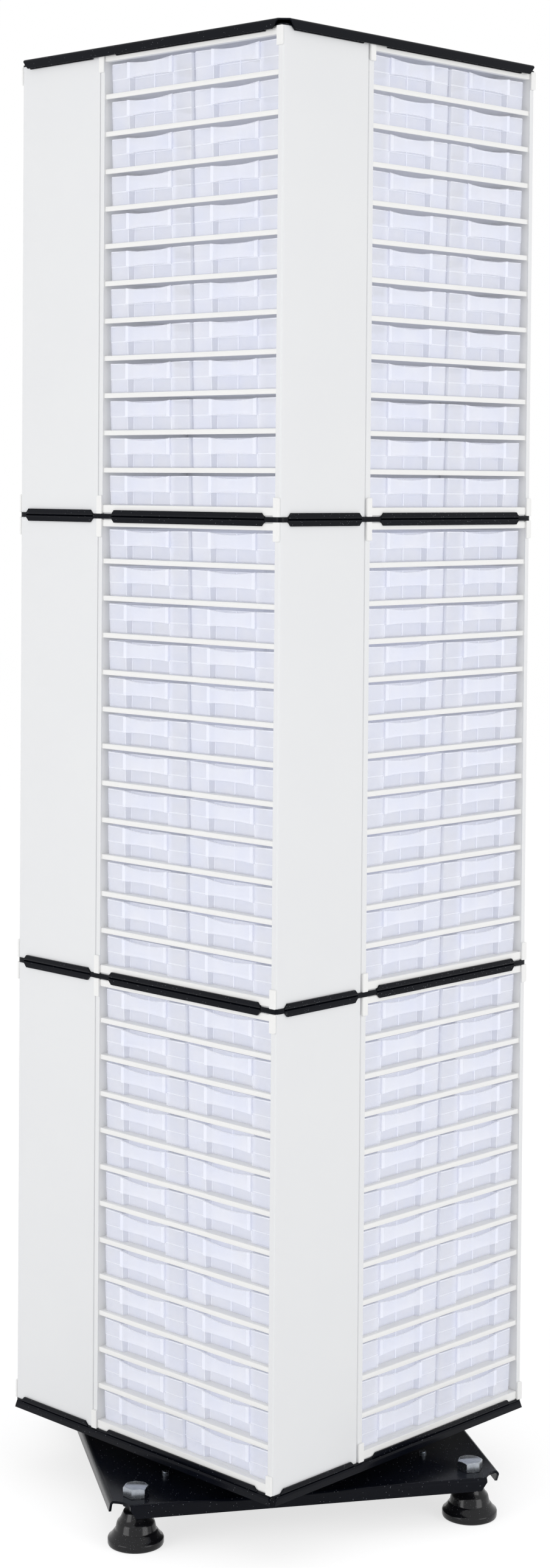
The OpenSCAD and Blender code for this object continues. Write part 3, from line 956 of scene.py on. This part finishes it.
@dataclass
class Base:
    """The base plate, its levelling feet and its screws."""

    turn: float = 56.6
    half: float = 236.0
    bend_r: float = 5.0
    bend_steps: int = 9
    sheet: float = 3.0
    relief: float = 21.0
    relief_steps: int = 8
    slant: float = 7.0
    slant_from: float = 5.0
    foot: Foot = field(default_factory=Foot)
    foot_inset: float = 33.0
    foot_screw: Bolt = field(default_factory=lambda: Bolt(27.0, 11.5, radius=9.0, pitch=2.5))
    head_gap: float = 0.2
    nut_h: float = 9.0
    nut_bevel: float = 0.8
    stud: Bolt = field(default_factory=lambda: Bolt(13.0, 5.3, radius=4.0, pitch=1.25))
    stud_x: float = 159.0
    stud_y: float = 151.0
    stud_proud: float = 5.5
    race_screw_r: float = 136.0

    @property
    def turned(self) -> Matrix:
        """The base's turn against the tower at rest."""
        return Matrix.Rotation(math.radians(self.turn), 4, "Z")

    def around(self, x: float, y: float) -> list[Matrix]:
        """Four places on the turned base, at each sign of x and y."""
        return [self.turned @ Matrix.Translation((sx * x, sy * y, 0)) for sx in (-1, 1) for sy in (-1, 1)]

    def corners(self) -> list[Matrix]:
        """Places of the feet."""
        return self.around(self.half - self.foot_inset, self.half - self.foot_inset)

    def build(self) -> None:
        """Makes the base's pieces."""
        low, high = box_mm("base_plate")
        plate = FoldedPlate(self.half, high.z - low.z, self.sheet, self.bend_r)
        plate.slant, plate.slant_from, plate.bend_steps = self.slant, self.slant_from, self.bend_steps
        reach = math.degrees(math.asin(self.bend_r / self.relief))
        corner = (-self.half, -self.half)
        plate.corner = arc(corner, self.relief, 90 - reach, reach, self.relief_steps)[:-1]
        plate.corner[0] = (-self.half + self.bend_r, plate.corner[0][1])
        plate.folds = [(-self.half + self.relief, self.half - self.relief)]
        plate.place("base_plate", "base", high.z, turn=self.turn)
        self.feet()
        self.weld_nuts(high.z - self.sheet)
        self.foot_screws(high.z)
        self.studs(high.z)

    def at_corners(self, one: Draft, name: str) -> Mesh:
        """Sets a draft out at the four corners.

        Args:
            one: The draft of one.
            name: Name of the mesh.

        Returns:
            The mesh of all four.
        """
        draft = Draft()
        for place in self.corners():
            draft.merge(one, place)
        return draft.mesh(name)

    def feet(self) -> None:
        """Makes the stepped feet."""
        mesh = self.at_corners(self.foot.draft(box_mm("foot_pads")[1].z), "feet")
        Piece("feet", mesh, FOOT_PLASTIC, "base", ("foot_pads",), smooth_deg=self.foot.crease).place()

    def weld_nuts(self, under_z: float) -> None:
        """Makes the nuts under the plate that the levelling screws turn in.

        Args:
            under_z: Height of the plate's lower face.
        """
        nut = Draft()
        outline = hexagon(self.foot_screw.across_flats)
        nut.loft([at_height(outline, under_z - self.nut_h), at_height(outline, under_z)])
        mesh = self.at_corners(nut, "weld_nuts")
        Piece("weld_nuts", mesh, POWDER_COAT, "base", (), bevel_mm=self.nut_bevel).place()

    def foot_screws(self, plate_z: float) -> None:
        """Makes the levelling screws: heads on the plate, threaded shanks into the feet.

        Args:
            plate_z: Height of the plate's upper face.
        """
        bolt, low = self.foot_screw, box_mm("foot_screws")[0].z
        one = Draft()
        one.merge(bolt.head(), Matrix.Translation((0, 0, plate_z)))
        one.merge(bolt.thread(low, plate_z - self.head_gap))
        mesh = self.at_corners(one, "levelling_screws")
        Piece("levelling_screws", mesh, ZINC, "base", ("foot_screws",), smooth_deg=bolt.crease).place()

    def studs(self, plate_z: float) -> None:
        """Makes the small screws: heads below, threaded ends above the plate.

        Args:
            plate_z: Height of the plate's upper face.
        """
        bolt, seat = self.stud, plate_z - self.sheet
        out = Matrix.Translation((self.race_screw_r, 0, 0))
        ends = [(place, plate_z + self.stud_proud) for place in self.around(self.stud_x, self.stud_y)]
        ends += [(self.turned @ side.turn @ out, box_mm("plate_screws")[1].z) for side in Side]
        upside = Matrix.Translation((0, 0, seat)) @ Matrix.Rotation(math.pi, 4, "X")
        draft = Draft()
        for place, top in ends:
            draft.merge(bolt.head(), place @ upside)
            draft.merge(bolt.thread(seat, top), place)
        mesh = draft.mesh("base_screws")
        Piece("base_screws", mesh, ZINC, "base", ("plate_screws",), smooth_deg=bolt.crease).place()


# Cabinets


@dataclass
class Cabinet:
    """One cabinet: casing, racks, shelves and end rails, drawn with its front at y = 0."""

    width: float = 306.0
    depth: float = 142.5
    casing_t: float = 1.0
    edge_r: float = 2.0
    edge_steps: int = 6
    back_r: float = 1.5
    back_steps: int = 4
    stile: float = 8.0
    rows: int = 12
    row_pitch: float = 44.75
    top_rail: float = 9.3
    bottom_rail: float = 10.7
    rail_d: float = 8.0
    rail_bevel: float = 0.5
    strip_h: float = 6.0
    strip_t: float = 2.0
    strip_r: float = 0.6
    strip_steps: int = 2
    shelf_t: float = 1.6
    shelf_bevel: float = 0.2
    shelf_crease: float = 60.0
    strip_setback: float = 2.0
    shelf_back: float = 140.5
    tongue: float = 1.5
    rack_t: float = 6.7
    clip_w: float = 9.0
    clip_h: float = 22.0
    clip_r: float = 2.0
    clip_steps: int = 3
    clip_proud: float = 3.0

    @property
    def bay(self) -> float:
        """Half the width between the stiles."""
        return self.width / 2 - self.stile

    @property
    def height(self) -> float:
        """Height of the casing."""
        low, high = box_mm("lower_casings")
        return high.z - low.z

    @property
    def first_place(self) -> Vector:
        """Where the lower front cabinet's own origin lies, in metres."""
        low, high = box_mm("lower_casings")
        return Vector((high.x - self.width / 2, low.y, low.z)) * MM

    @property
    def tier_step(self) -> Vector:
        """From one tier to the next, in metres."""
        return Vector((0, 0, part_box("middle_casings")[0].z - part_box("lower_casings")[0].z))

    def floor_of(self, row: int) -> float:
        """Height of the shelf face under a row; row 1 is the top one."""
        return self.height - self.top_rail - row * self.row_pitch + self.strip_h

    def fold_line(self, inset: float) -> list[Point]:
        """The casing's line from above, from one stile's edge round the back to the other's.

        Args:
            inset: How far it lies inside the casing's outer face.

        Returns:
            The line's points.
        """
        half = self.width / 2
        right: list[Point] = [(half - self.stile, inset)]
        right += arc((half - self.edge_r, self.edge_r), self.edge_r - inset, 270, 360, self.edge_steps)
        back = (half - self.back_r, self.depth - self.back_r)
        right += arc(back, self.back_r - inset, 0, 90, self.back_steps)
        return right + [(-x, y) for x, y in reversed(right)]

    def casing(self) -> Draft:
        """Draws the casing: one sheet folded round back, sides and stiles, with a top and a bottom.

        Returns:
            The casing, standing on z = 0.
        """
        half, t = self.width / 2, self.casing_t
        outer, inner = self.fold_line(0.0), self.fold_line(t)
        section = outer + list(reversed(inner))
        total = len(section)
        faces = [(k, (k + 1) % total, total + (k + 1) % total, total + k) for k in range(total)]
        for first in (0, total):
            for k in range(len(outer) - 1):
                faces.append((first + k, first + k + 1, first + total - 2 - k, first + total - 1 - k))
        draft = Draft()
        draft.add(at_height(section, 0) + at_height(section, self.height), faces)
        for z in (0.0, self.height - t):
            draft.block((-half + t, t, z), (half - t, self.depth - t, z + t))
        return draft

    def plank(self, front: float) -> Draft:
        """Draws a shelf's flat plate with its top face at z = 0.

        Args:
            front: Where it starts behind the cabinet's front.

        Returns:
            The plate.
        """
        reach = self.bay + self.tongue
        draft = Draft()
        draft.block((-reach, front, -self.shelf_t), (reach, self.shelf_back, 0))
        return draft

    def shelf(self) -> Draft:
        """Draws one shelf with its front strip, whose front edges are rounded.

        Returns:
            The shelf, its top face at z = 0.
        """
        front, r = self.strip_setback, self.strip_r
        draft = self.plank(front + self.strip_t)
        section = arc((front + r, -self.strip_h + r), r, 270, 180, self.strip_steps)
        section += arc((front + r, -r), r, 180, 90, self.strip_steps)
        section += [(front + self.strip_t, 0.0), (front + self.strip_t, -self.strip_h)]
        draft.loft([[Vector((x, y, z)) for y, z in section] for x in (-self.bay, self.bay)])
        return draft

    def rack(self) -> Draft:
        """Draws the side plates that carry the shelves.

        Returns:
            Both plates.
        """
        draft, t = Draft(), self.casing_t
        for sign in (-1, 1):
            low = (sign * self.bay, t, t)
            draft.block(low, (sign * (self.bay + self.rack_t), self.shelf_back, self.height - t))
        return draft

    def end_rail(self, rail_h: float) -> Draft:
        """Draws one end rail for the bottom, with a clip over each stile.

        Args:
            rail_h: Height of the rail.

        Returns:
            The rail.
        """
        draft, t, r = Draft(), self.casing_t, self.clip_r
        draft.block((-self.bay, 0, t), (self.bay, self.rail_d, rail_h))
        inner, outer = self.width / 2 - self.clip_w, self.width / 2
        outline = [(inner, 0.0), (outer, 0.0)]
        outline += arc((outer - r, self.clip_h - r), r, 0, 90, self.clip_steps)
        outline += [(inner, self.clip_h)]
        for sign in (-1, 1):
            draft.loft([[Vector((sign * x, y, z)) for x, z in outline] for y in (-self.clip_proud, 0)])
            draft.block((sign * inner, 0, t), (sign * self.bay, self.rail_d, rail_h))
        return draft

    def set_out(self, name: str, shape: Mesh, node: str, lift: float = 0.0, **inputs: object) -> None:
        """Makes a white moulding of all twelve cabinets.

        Args:
            name: Name of the piece.
            shape: The moulding.
            node: CAD node that it stands for.
            lift: Height of its origin above the cabinet's.
            **inputs: Further inputs of the repeat.
        """
        inputs |= {"Turns": len(Side), "Tiers": len(Tier), "Tier_Step": self.tier_step}
        first = self.first_place + Vector((0, 0, lift)) * MM
        mesh = REPEAT.run(name, shape, FRAME_PLASTIC, First_Place=first, **inputs)
        Piece(name, mesh, FRAME_PLASTIC, "tower", (node,)).place()

    def build(self) -> None:
        """Makes the white pieces of all twelve cabinets."""
        shell = self.casing().mesh("casing_shape")
        for tier in Tier:
            node = f"{tier.name.lower()}_casings"
            at = self.first_place + self.tier_step * tier.value
            mesh = REPEAT.run(f"{node}_shells", shell, ENAMEL, Turns=len(Side), First_Place=at)
            Piece(f"{node}_shells", mesh, ENAMEL, "tower", (node,)).place()
        shelf = softened(self.shelf(), "shelf_shape", self.shelf_bevel, self.shelf_crease)
        step = Vector((0, 0, -self.row_pitch)) * MM
        self.set_out("shelf_set", shelf, "shelves", self.floor_of(1), Rows=self.rows - 1, Row_Step=step)
        low_shelf = self.plank(self.rail_d).mesh("low_shelf")
        self.set_out("low_shelf_set", low_shelf, "shelves", self.floor_of(self.rows))
        self.set_out("rack_set", self.rack().mesh("rack"), "side_racks")
        rails = self.end_rail(self.bottom_rail)
        top = Matrix.Translation((0, 0, self.height)) @ Matrix.Rotation(math.pi, 4, "Y")
        rails.merge(self.end_rail(self.top_rail), top)
        self.set_out("end_rail_set", softened(rails, "rail_shape", self.rail_bevel), "end_rails")


# Drawers


@dataclass
class Drawer:
    """One clear drawer, its front at y = 0 and its floor on z = 0.

    The walls lean in by the draft towards the floor, which has a chamfered edge, and step out at
    half height. The rim has a rolled outer edge and dips over the finger recess. The pull is a
    plate across the recess. Each pale value is the paleness of the faces that it names: how much
    painted highlight they get and how much light they stop.
    """

    width: float = 139.0
    length: float = 131.0
    height: float = 35.0
    wall: float = 1.5
    floor: float = 1.6
    corner_r: float = 4.0
    corner_steps: int = 2
    back_r: float = 3.0
    lean: float = 1.4
    draft_in: float = 0.4
    chamfer: float = 0.7
    chamfer_pale: float = 0.3
    step_z: float = 15.4
    step_h: float = 1.3
    step_draft: float = 0.6
    step_pale: float = 0.6
    rim_h: float = 1.4
    rim_in: float = 0.35
    rim_lip: float = 0.2
    rim_pale: float = 0.6
    top_pale: float = 0.8
    rim_dip: float = 0.9
    dip_reach: float = 2.0
    recess_w: float = 74.0
    recess_d: float = 7.5
    recess_slant: float = 3.0
    edge_w: float = 1.1
    edge_slack: float = 1.3
    edge_pale: float = 0.5
    pull_w: float = 77.0
    pull_h: float = 20.0
    pull_proud: float = 2.8
    pull_dip: float = 3.0
    pull_arch: float = 1.5
    pull_t: float = 1.2
    pull_bow: float = 0.5
    pull_chamfer: float = 0.4
    pull_band: float = 5.0
    pull_stations: tuple[float, ...] = (-1.0, -0.6, -0.2, 0.2, 0.6, 1.0)
    pull_seat: float = 1.44
    pull_pale: float = -0.15
    band_pale: float = 0.25
    pull_end_pale: float = 0.4
    pull_edge_pale: float = 0.9
    pull_side_pale: float = 0.1
    rib_w: float = 1.2
    rib_proud: float = 0.7
    rib_seat: float = 0.4
    rib_from: float = 1.2
    rib_below_rim: float = 1.6
    rib_pale: float = 0.6

    def outline(self, inset: float, lean: float) -> list[Point]:
        """Draws the drawer's outline from above.

        Args:
            inset: How far the outline lies inside the drawer's outside.
            lean: How far the front's flats lie back at this height.

        Returns:
            The outline's points; those of the finger recess do not lean.
        """
        half, r = self.width / 2 - inset, self.corner_r - inset
        mouth, deep = self.recess_w / 2 + inset, inset + self.recess_d
        front, back = inset + lean, self.length - inset
        left = arc((-half + r, front + r), r, 180, 270, self.corner_steps)
        left += [(-mouth - self.edge_w, front), (-mouth, front)]
        left += [(-mouth + self.recess_slant, deep), (-mouth + self.recess_slant + self.edge_w, deep)]
        right = [(-x, y) for x, y in reversed(left)]
        cut = self.back_r - inset
        behind = [(half, back - cut), (half - cut, back), (-half + cut, back), (-half, back - cut)]
        return left + right + behind

    def shell(self, draft: Draft) -> None:
        """Draws the walls and floor: a rolled rim, a step round the front and a leaning front.

        Args:
            draft: The draft to draw on.
        """
        low = self.draft_in
        levels = [
            (0.0, low + self.chamfer, self.chamfer_pale),
            (self.chamfer, low, 0.0),
            (self.step_z, low * self.step_draft, self.step_pale),
            (self.step_z + self.step_h, 0.0, 0.0),
            (self.height - self.rim_h, 0.0, self.rim_pale),
            (self.height, self.rim_in, self.top_pale),
            (self.height, self.wall - self.rim_lip, 0.0),
            (self.floor, self.wall + low, 0.0),
        ]
        loops = []
        for z, inset, _ in levels:
            loop = at_height(self.outline(inset, self.lean * (1 - z / self.height)), z)
            for point in loop:
                near = abs(point.x) < self.recess_w / 2 + self.dip_reach and point.y < self.length / 2
                if z == self.height and near:
                    point.z -= self.rim_dip
            loops.append(loop)
        start = len(draft.faces)
        draft.loft(loops, [pale for _, _, pale in levels[:-1]])
        # The narrow faces at the finger recess's edges get a painted highlight.
        for k in range(start, len(draft.faces)):
            xs = [draft.points[i].x for i in draft.faces[k]]
            ys = [draft.points[i].y for i in draft.faces[k]]
            narrow = max(xs) - min(xs) < self.edge_w * self.edge_slack
            if narrow and max(ys) < self.recess_d + self.wall:
                draft.pales[k] = max(draft.pales[k], self.edge_pale)

    def pull(self, draft: Draft) -> None:
        """Draws the pull: a bowed plate with a dipped top, an arched bottom and a band at each end.

        Args:
            draft: The draft to draw on.
        """
        half, cut = self.pull_w / 2, self.pull_chamfer
        foot = self.height - self.pull_h
        inner = (half - self.pull_band) / half
        loops = []
        for u in (-1.0, *(inner * share for share in self.pull_stations), 1.0):
            top = self.height - self.pull_dip * (1 - u * u)
            bottom = foot + self.pull_arch * (1 - u * u)
            front = -self.pull_proud + self.pull_bow * u * u
            back = front + self.pull_t
            section = ((front, bottom + cut), (back, bottom), (back, top), (front, top - cut))
            loops.append([Vector((u * half, y, z)) for y, z in section])
        start, spans = len(draft.faces), len(self.pull_stations) - 1
        draft.loft(loops, [self.band_pale, *[self.pull_pale] * spans, self.band_pale], self.pull_end_pale)
        # Round the plate come its bottom edge, back, top edge and front: every other face is an edge, and
        # the edges get a painted highlight.
        for k in range(start, len(draft.faces) - 2, 2):
            draft.pales[k] = self.pull_edge_pale
        front = -self.pull_proud + self.pull_bow + self.pull_t
        for sign in (-1, 1):
            low = (sign * (half - self.pull_t), front, foot + cut)
            draft.block(low, (sign * half, self.pull_seat, self.height - cut), self.pull_side_pale)

    def rib(self, draft: Draft) -> None:
        """Draws the upright rib in the middle of the finger recess.

        Args:
            draft: The draft to draw on.
        """
        half, top = self.rib_w / 2, self.height - self.rib_below_rim
        low = (-half, self.recess_d - self.rib_proud, self.rib_from)
        draft.block(low, (half, self.recess_d + self.rib_seat, top), self.rib_pale)

    def draft(self) -> Draft:
        """Draws the whole drawer.

        Returns:
            The drawer.
        """
        draft = Draft()
        self.shell(draft)
        self.pull(draft)
        self.rib(draft)
        return draft


@dataclass
class DrawerSet:
    """All 288 drawers: single ones in the middle tier's front cabinet, whole banks elsewhere."""

    cabinet: Cabinet
    drawer: Drawer = field(default_factory=Drawer)
    setback: float = 6.0
    column_x: float = 71.5
    seat_gap: float = 0.3

    def first(self, row: int, column: int, tier: Tier) -> Vector:
        """Place of a drawer in a front cabinet, in metres; column -1 is the left one."""
        local = Vector((column * self.column_x, self.setback, self.cabinet.floor_of(row) + self.seat_gap))
        return self.cabinet.first_place + local * MM + self.cabinet.tier_step * tier.value

    def place(self, node: str, shape: Mesh, first: Vector, **inputs: object) -> None:
        """Makes the piece of one drawer or bank.

        Args:
            node: CAD node and body that it stands for.
            shape: The drawer.
            first: Place of the first drawer in a front cabinet, in metres.
            **inputs: Further inputs of the repeat.
        """
        mesh = REPEAT.run(f"{node}_clear", shape, DRAWER_PLASTIC, First_Place=first, **inputs)
        Piece(f"{node}_clear", mesh, DRAWER_PLASTIC, node, (node,)).place()

    def build(self) -> None:
        """Makes every drawer."""
        shape = self.drawer.draft().mesh("drawer_shape")
        rows = {"Rows": self.cabinet.rows, "Row_Step": Vector((0, 0, -self.cabinet.row_pitch)) * MM}
        columns = {"Columns": 2, "Column_Step": Vector((2 * self.column_x, 0, 0)) * MM}
        for tier in Tier:
            for side in Side:
                if (tier, side) != (Tier.MIDDLE, Side.FRONT):
                    node = f"{tier.name.lower()}_{side.name.lower()}_drawers"
                    turn = math.pi / 2 * side.value
                    self.place(node, shape, self.first(1, -1, tier), First_Turn=turn, **rows, **columns)
        for row in range(1, self.cabinet.rows + 1):
            for column, hand in ((-1, "left"), (1, "right")):
                self.place(f"drawer_{row:02d}_{hand}", shape, self.first(row, column, Tier.MIDDLE))


# Hidden works


@dataclass
class Works:
    """The bearing and the clamping parts, which keep their CAD shapes."""

    bearing: tuple[str, ...] = ("lower_race", "upper_race", "bearing_balls")
    cage: tuple[str, ...] = ("ball_cage",)
    clamping: tuple[str, ...] = ("tie_rods", "tie_nuts", "stack_spacers")

    def build(self) -> None:
        """Dresses each part."""
        for nodes, finish in ((self.bearing, BEARING_STEEL), (self.cage, NYLON), (self.clamping, ZINC)):
            for node in nodes:
                dress_node(node, finish)


# Studio


@dataclass
class Camera:
    """The viewing angle: where the camera stands, how it looks and what its lens sees."""

    distance: float = 3208.7
    azimuth: float = -45.893
    height: float = 1237.0
    yaw: float = -0.105
    pitch: float = -1.715
    roll: float = 0.445
    focal_px: float = 4222.9
    centre_px: Point = (460.4, 922.1)
    sensor: float = 36.0
    nearest_m: float = 0.1
    furthest_m: float = 60.0

    def build(self) -> None:
        """Makes the camera and sets it as the scene's."""
        around = math.radians(self.azimuth)
        heading = around + math.pi + math.radians(self.yaw)
        tilt, roll = math.radians(self.pitch), math.radians(self.roll)
        ahead = Vector((math.cos(heading), math.sin(heading), 0)) * math.cos(tilt)
        forward = ahead + Vector((0, 0, math.sin(tilt)))
        level = forward.cross(Vector((0, 0, 1))).normalized()
        upright = level.cross(forward)
        right = level * math.cos(roll) + upright * math.sin(roll)
        up = upright * math.cos(roll) - level * math.sin(roll)
        data = bpy.data.cameras.new("camera")
        data.sensor_width = self.sensor
        data.lens = self.focal_px / IMAGE_H * self.sensor
        data.shift_x = (IMAGE_W / 2 - self.centre_px[0]) / IMAGE_H
        data.shift_y = (self.centre_px[1] - IMAGE_H / 2) / IMAGE_H
        data.clip_start, data.clip_end = self.nearest_m, self.furthest_m
        camera = bpy.data.objects.new("camera", data)
        out = self.distance * MM
        stand = (out * math.cos(around), out * math.sin(around), self.height * MM)
        rows = [(right[k], up[k], -forward[k], stand[k]) for k in range(3)]
        camera.matrix_world = Matrix((*rows, (0, 0, 0, 1)))
        bpy.context.scene.collection.objects.link(camera)
        bpy.context.scene.camera = camera


@dataclass(frozen=True)
class Lamp:
    """A square soft lamp that looks at the tower's axis, with its measures in metres."""

    name: str
    x: float
    y: float
    watts: float
    z: float = 1.5
    size: float = 2.4
    aim_z: float = 0.9

    def build(self) -> None:
        """Makes the lamp."""
        data = bpy.data.lights.new(self.name, "AREA")
        data.shape, data.size, data.energy = "SQUARE", self.size, self.watts
        lamp = bpy.data.objects.new(self.name, data)
        lamp.location = (self.x, self.y, self.z)
        aim = Vector((0, 0, self.aim_z)) - lamp.location
        lamp.rotation_mode = "QUATERNION"
        lamp.rotation_quaternion = aim.to_track_quat("-Z", "Y")
        bpy.context.scene.collection.objects.link(lamp)


@dataclass
class Studio:
    """A white room: even light from all round, two soft lamps and a pale floor."""

    world_level: float = 0.67
    floor_half: float = 12000.0
    floor_colour: str = "#f2f2f2"
    floor_white: float = 0.5
    floor_level: float = 1.4
    clear_layers: int = 28
    white_bounces: int = 6
    lamps: tuple[Lamp, ...] = (
        Lamp("left_softbox", -0.6, -4.2, watts=54),
        Lamp("right_softbox", 4.2, 0.6, watts=52),
    )

    def seen_rays(self, tree: Tree) -> Socket:
        """Gives 1 to camera, mirror and see-through rays, and 0 to the rest.

        Args:
            tree: The tree that needs it.

        Returns:
            The socket with the value.
        """
        rays = add_node(tree, "ShaderNodeLightPath").outputs
        through = {0: rays["Is Camera Ray"], 1: rays["Is Transmission Ray"]}
        seen = add_node(tree, "ShaderNodeMath", through, operation="MAXIMUM").outputs[0]
        mirrored = {0: seen, 1: rays["Is Glossy Ray"]}
        return add_node(tree, "ShaderNodeMath", mirrored, operation="MAXIMUM").outputs[0]

    def world(self) -> None:
        """Makes the even light."""
        world = bpy.data.worlds.new("studio")
        world.use_nodes = True
        tree = world.node_tree
        tree.nodes.clear()
        light = add_node(tree, "ShaderNodeBackground", {"Color": WHITE, "Strength": self.world_level})
        white = add_node(tree, "ShaderNodeBackground", {"Color": WHITE, "Strength": 1.0})
        shares = {0: self.seen_rays(tree), 1: light.outputs[0], 2: white.outputs[0]}
        mix = add_node(tree, "ShaderNodeMixShader", shares)
        add_node(tree, "ShaderNodeOutputWorld", {"Surface": mix.outputs[0]})
        bpy.context.scene.world = world
        cycles = bpy.context.scene.cycles
        cycles.transparent_max_bounces = self.clear_layers
        cycles.max_bounces = 2 * self.white_bounces
        cycles.diffuse_bounces = self.white_bounces

    def floor(self) -> None:
        """Makes the floor, which stays white to the eye but keeps the tower's shadow."""
        h = self.floor_half
        draft = Draft()
        draft.add(at_height(rectangle((-h, -h), (h, h)), 0), [range(4)])
        floor = bpy.data.objects.new("floor", draft.mesh("floor", closed=False))
        bpy.context.scene.collection.objects.link(floor)
        material = bpy.data.materials.new("floor")
        material.use_nodes = True
        tree = material.node_tree
        tree.nodes.clear()
        plain = add_node(tree, "ShaderNodeBsdfDiffuse", {"Color": linear(self.floor_colour)})
        white = add_node(tree, "ShaderNodeEmission", {"Color": WHITE, "Strength": self.floor_level})
        seen = {0: self.seen_rays(tree), 1: self.floor_white}
        share = add_node(tree, "ShaderNodeMath", seen, operation="MULTIPLY")
        shares = {0: share.outputs[0], 1: plain.outputs[0], 2: white.outputs[0]}
        mix = add_node(tree, "ShaderNodeMixShader", shares)
        add_node(tree, "ShaderNodeOutputMaterial", {"Surface": mix.outputs[0]})
        floor.data.materials.append(material)

    def build(self) -> None:
        """Makes light, floor and view settings."""
        self.world()
        self.floor()
        for lamp in self.lamps:
            lamp.build()
        bpy.context.scene.view_settings.view_transform = "Standard"


def main() -> None:
    """Builds the tower, the studio and the camera."""
    logging.basicConfig(level=logging.INFO, format="%(name)s: %(message)s")
    cabinet = Cabinet()
    builders: list[Callable[[], None]] = [
        Plates().build,
        Base().build,
        cabinet.build,
        DrawerSet(cabinet).build,
        Works().build,
        Camera().build,
        Studio().build,
    ]
    for build in builders:
        build()


if __name__ == "__main__":
    main()
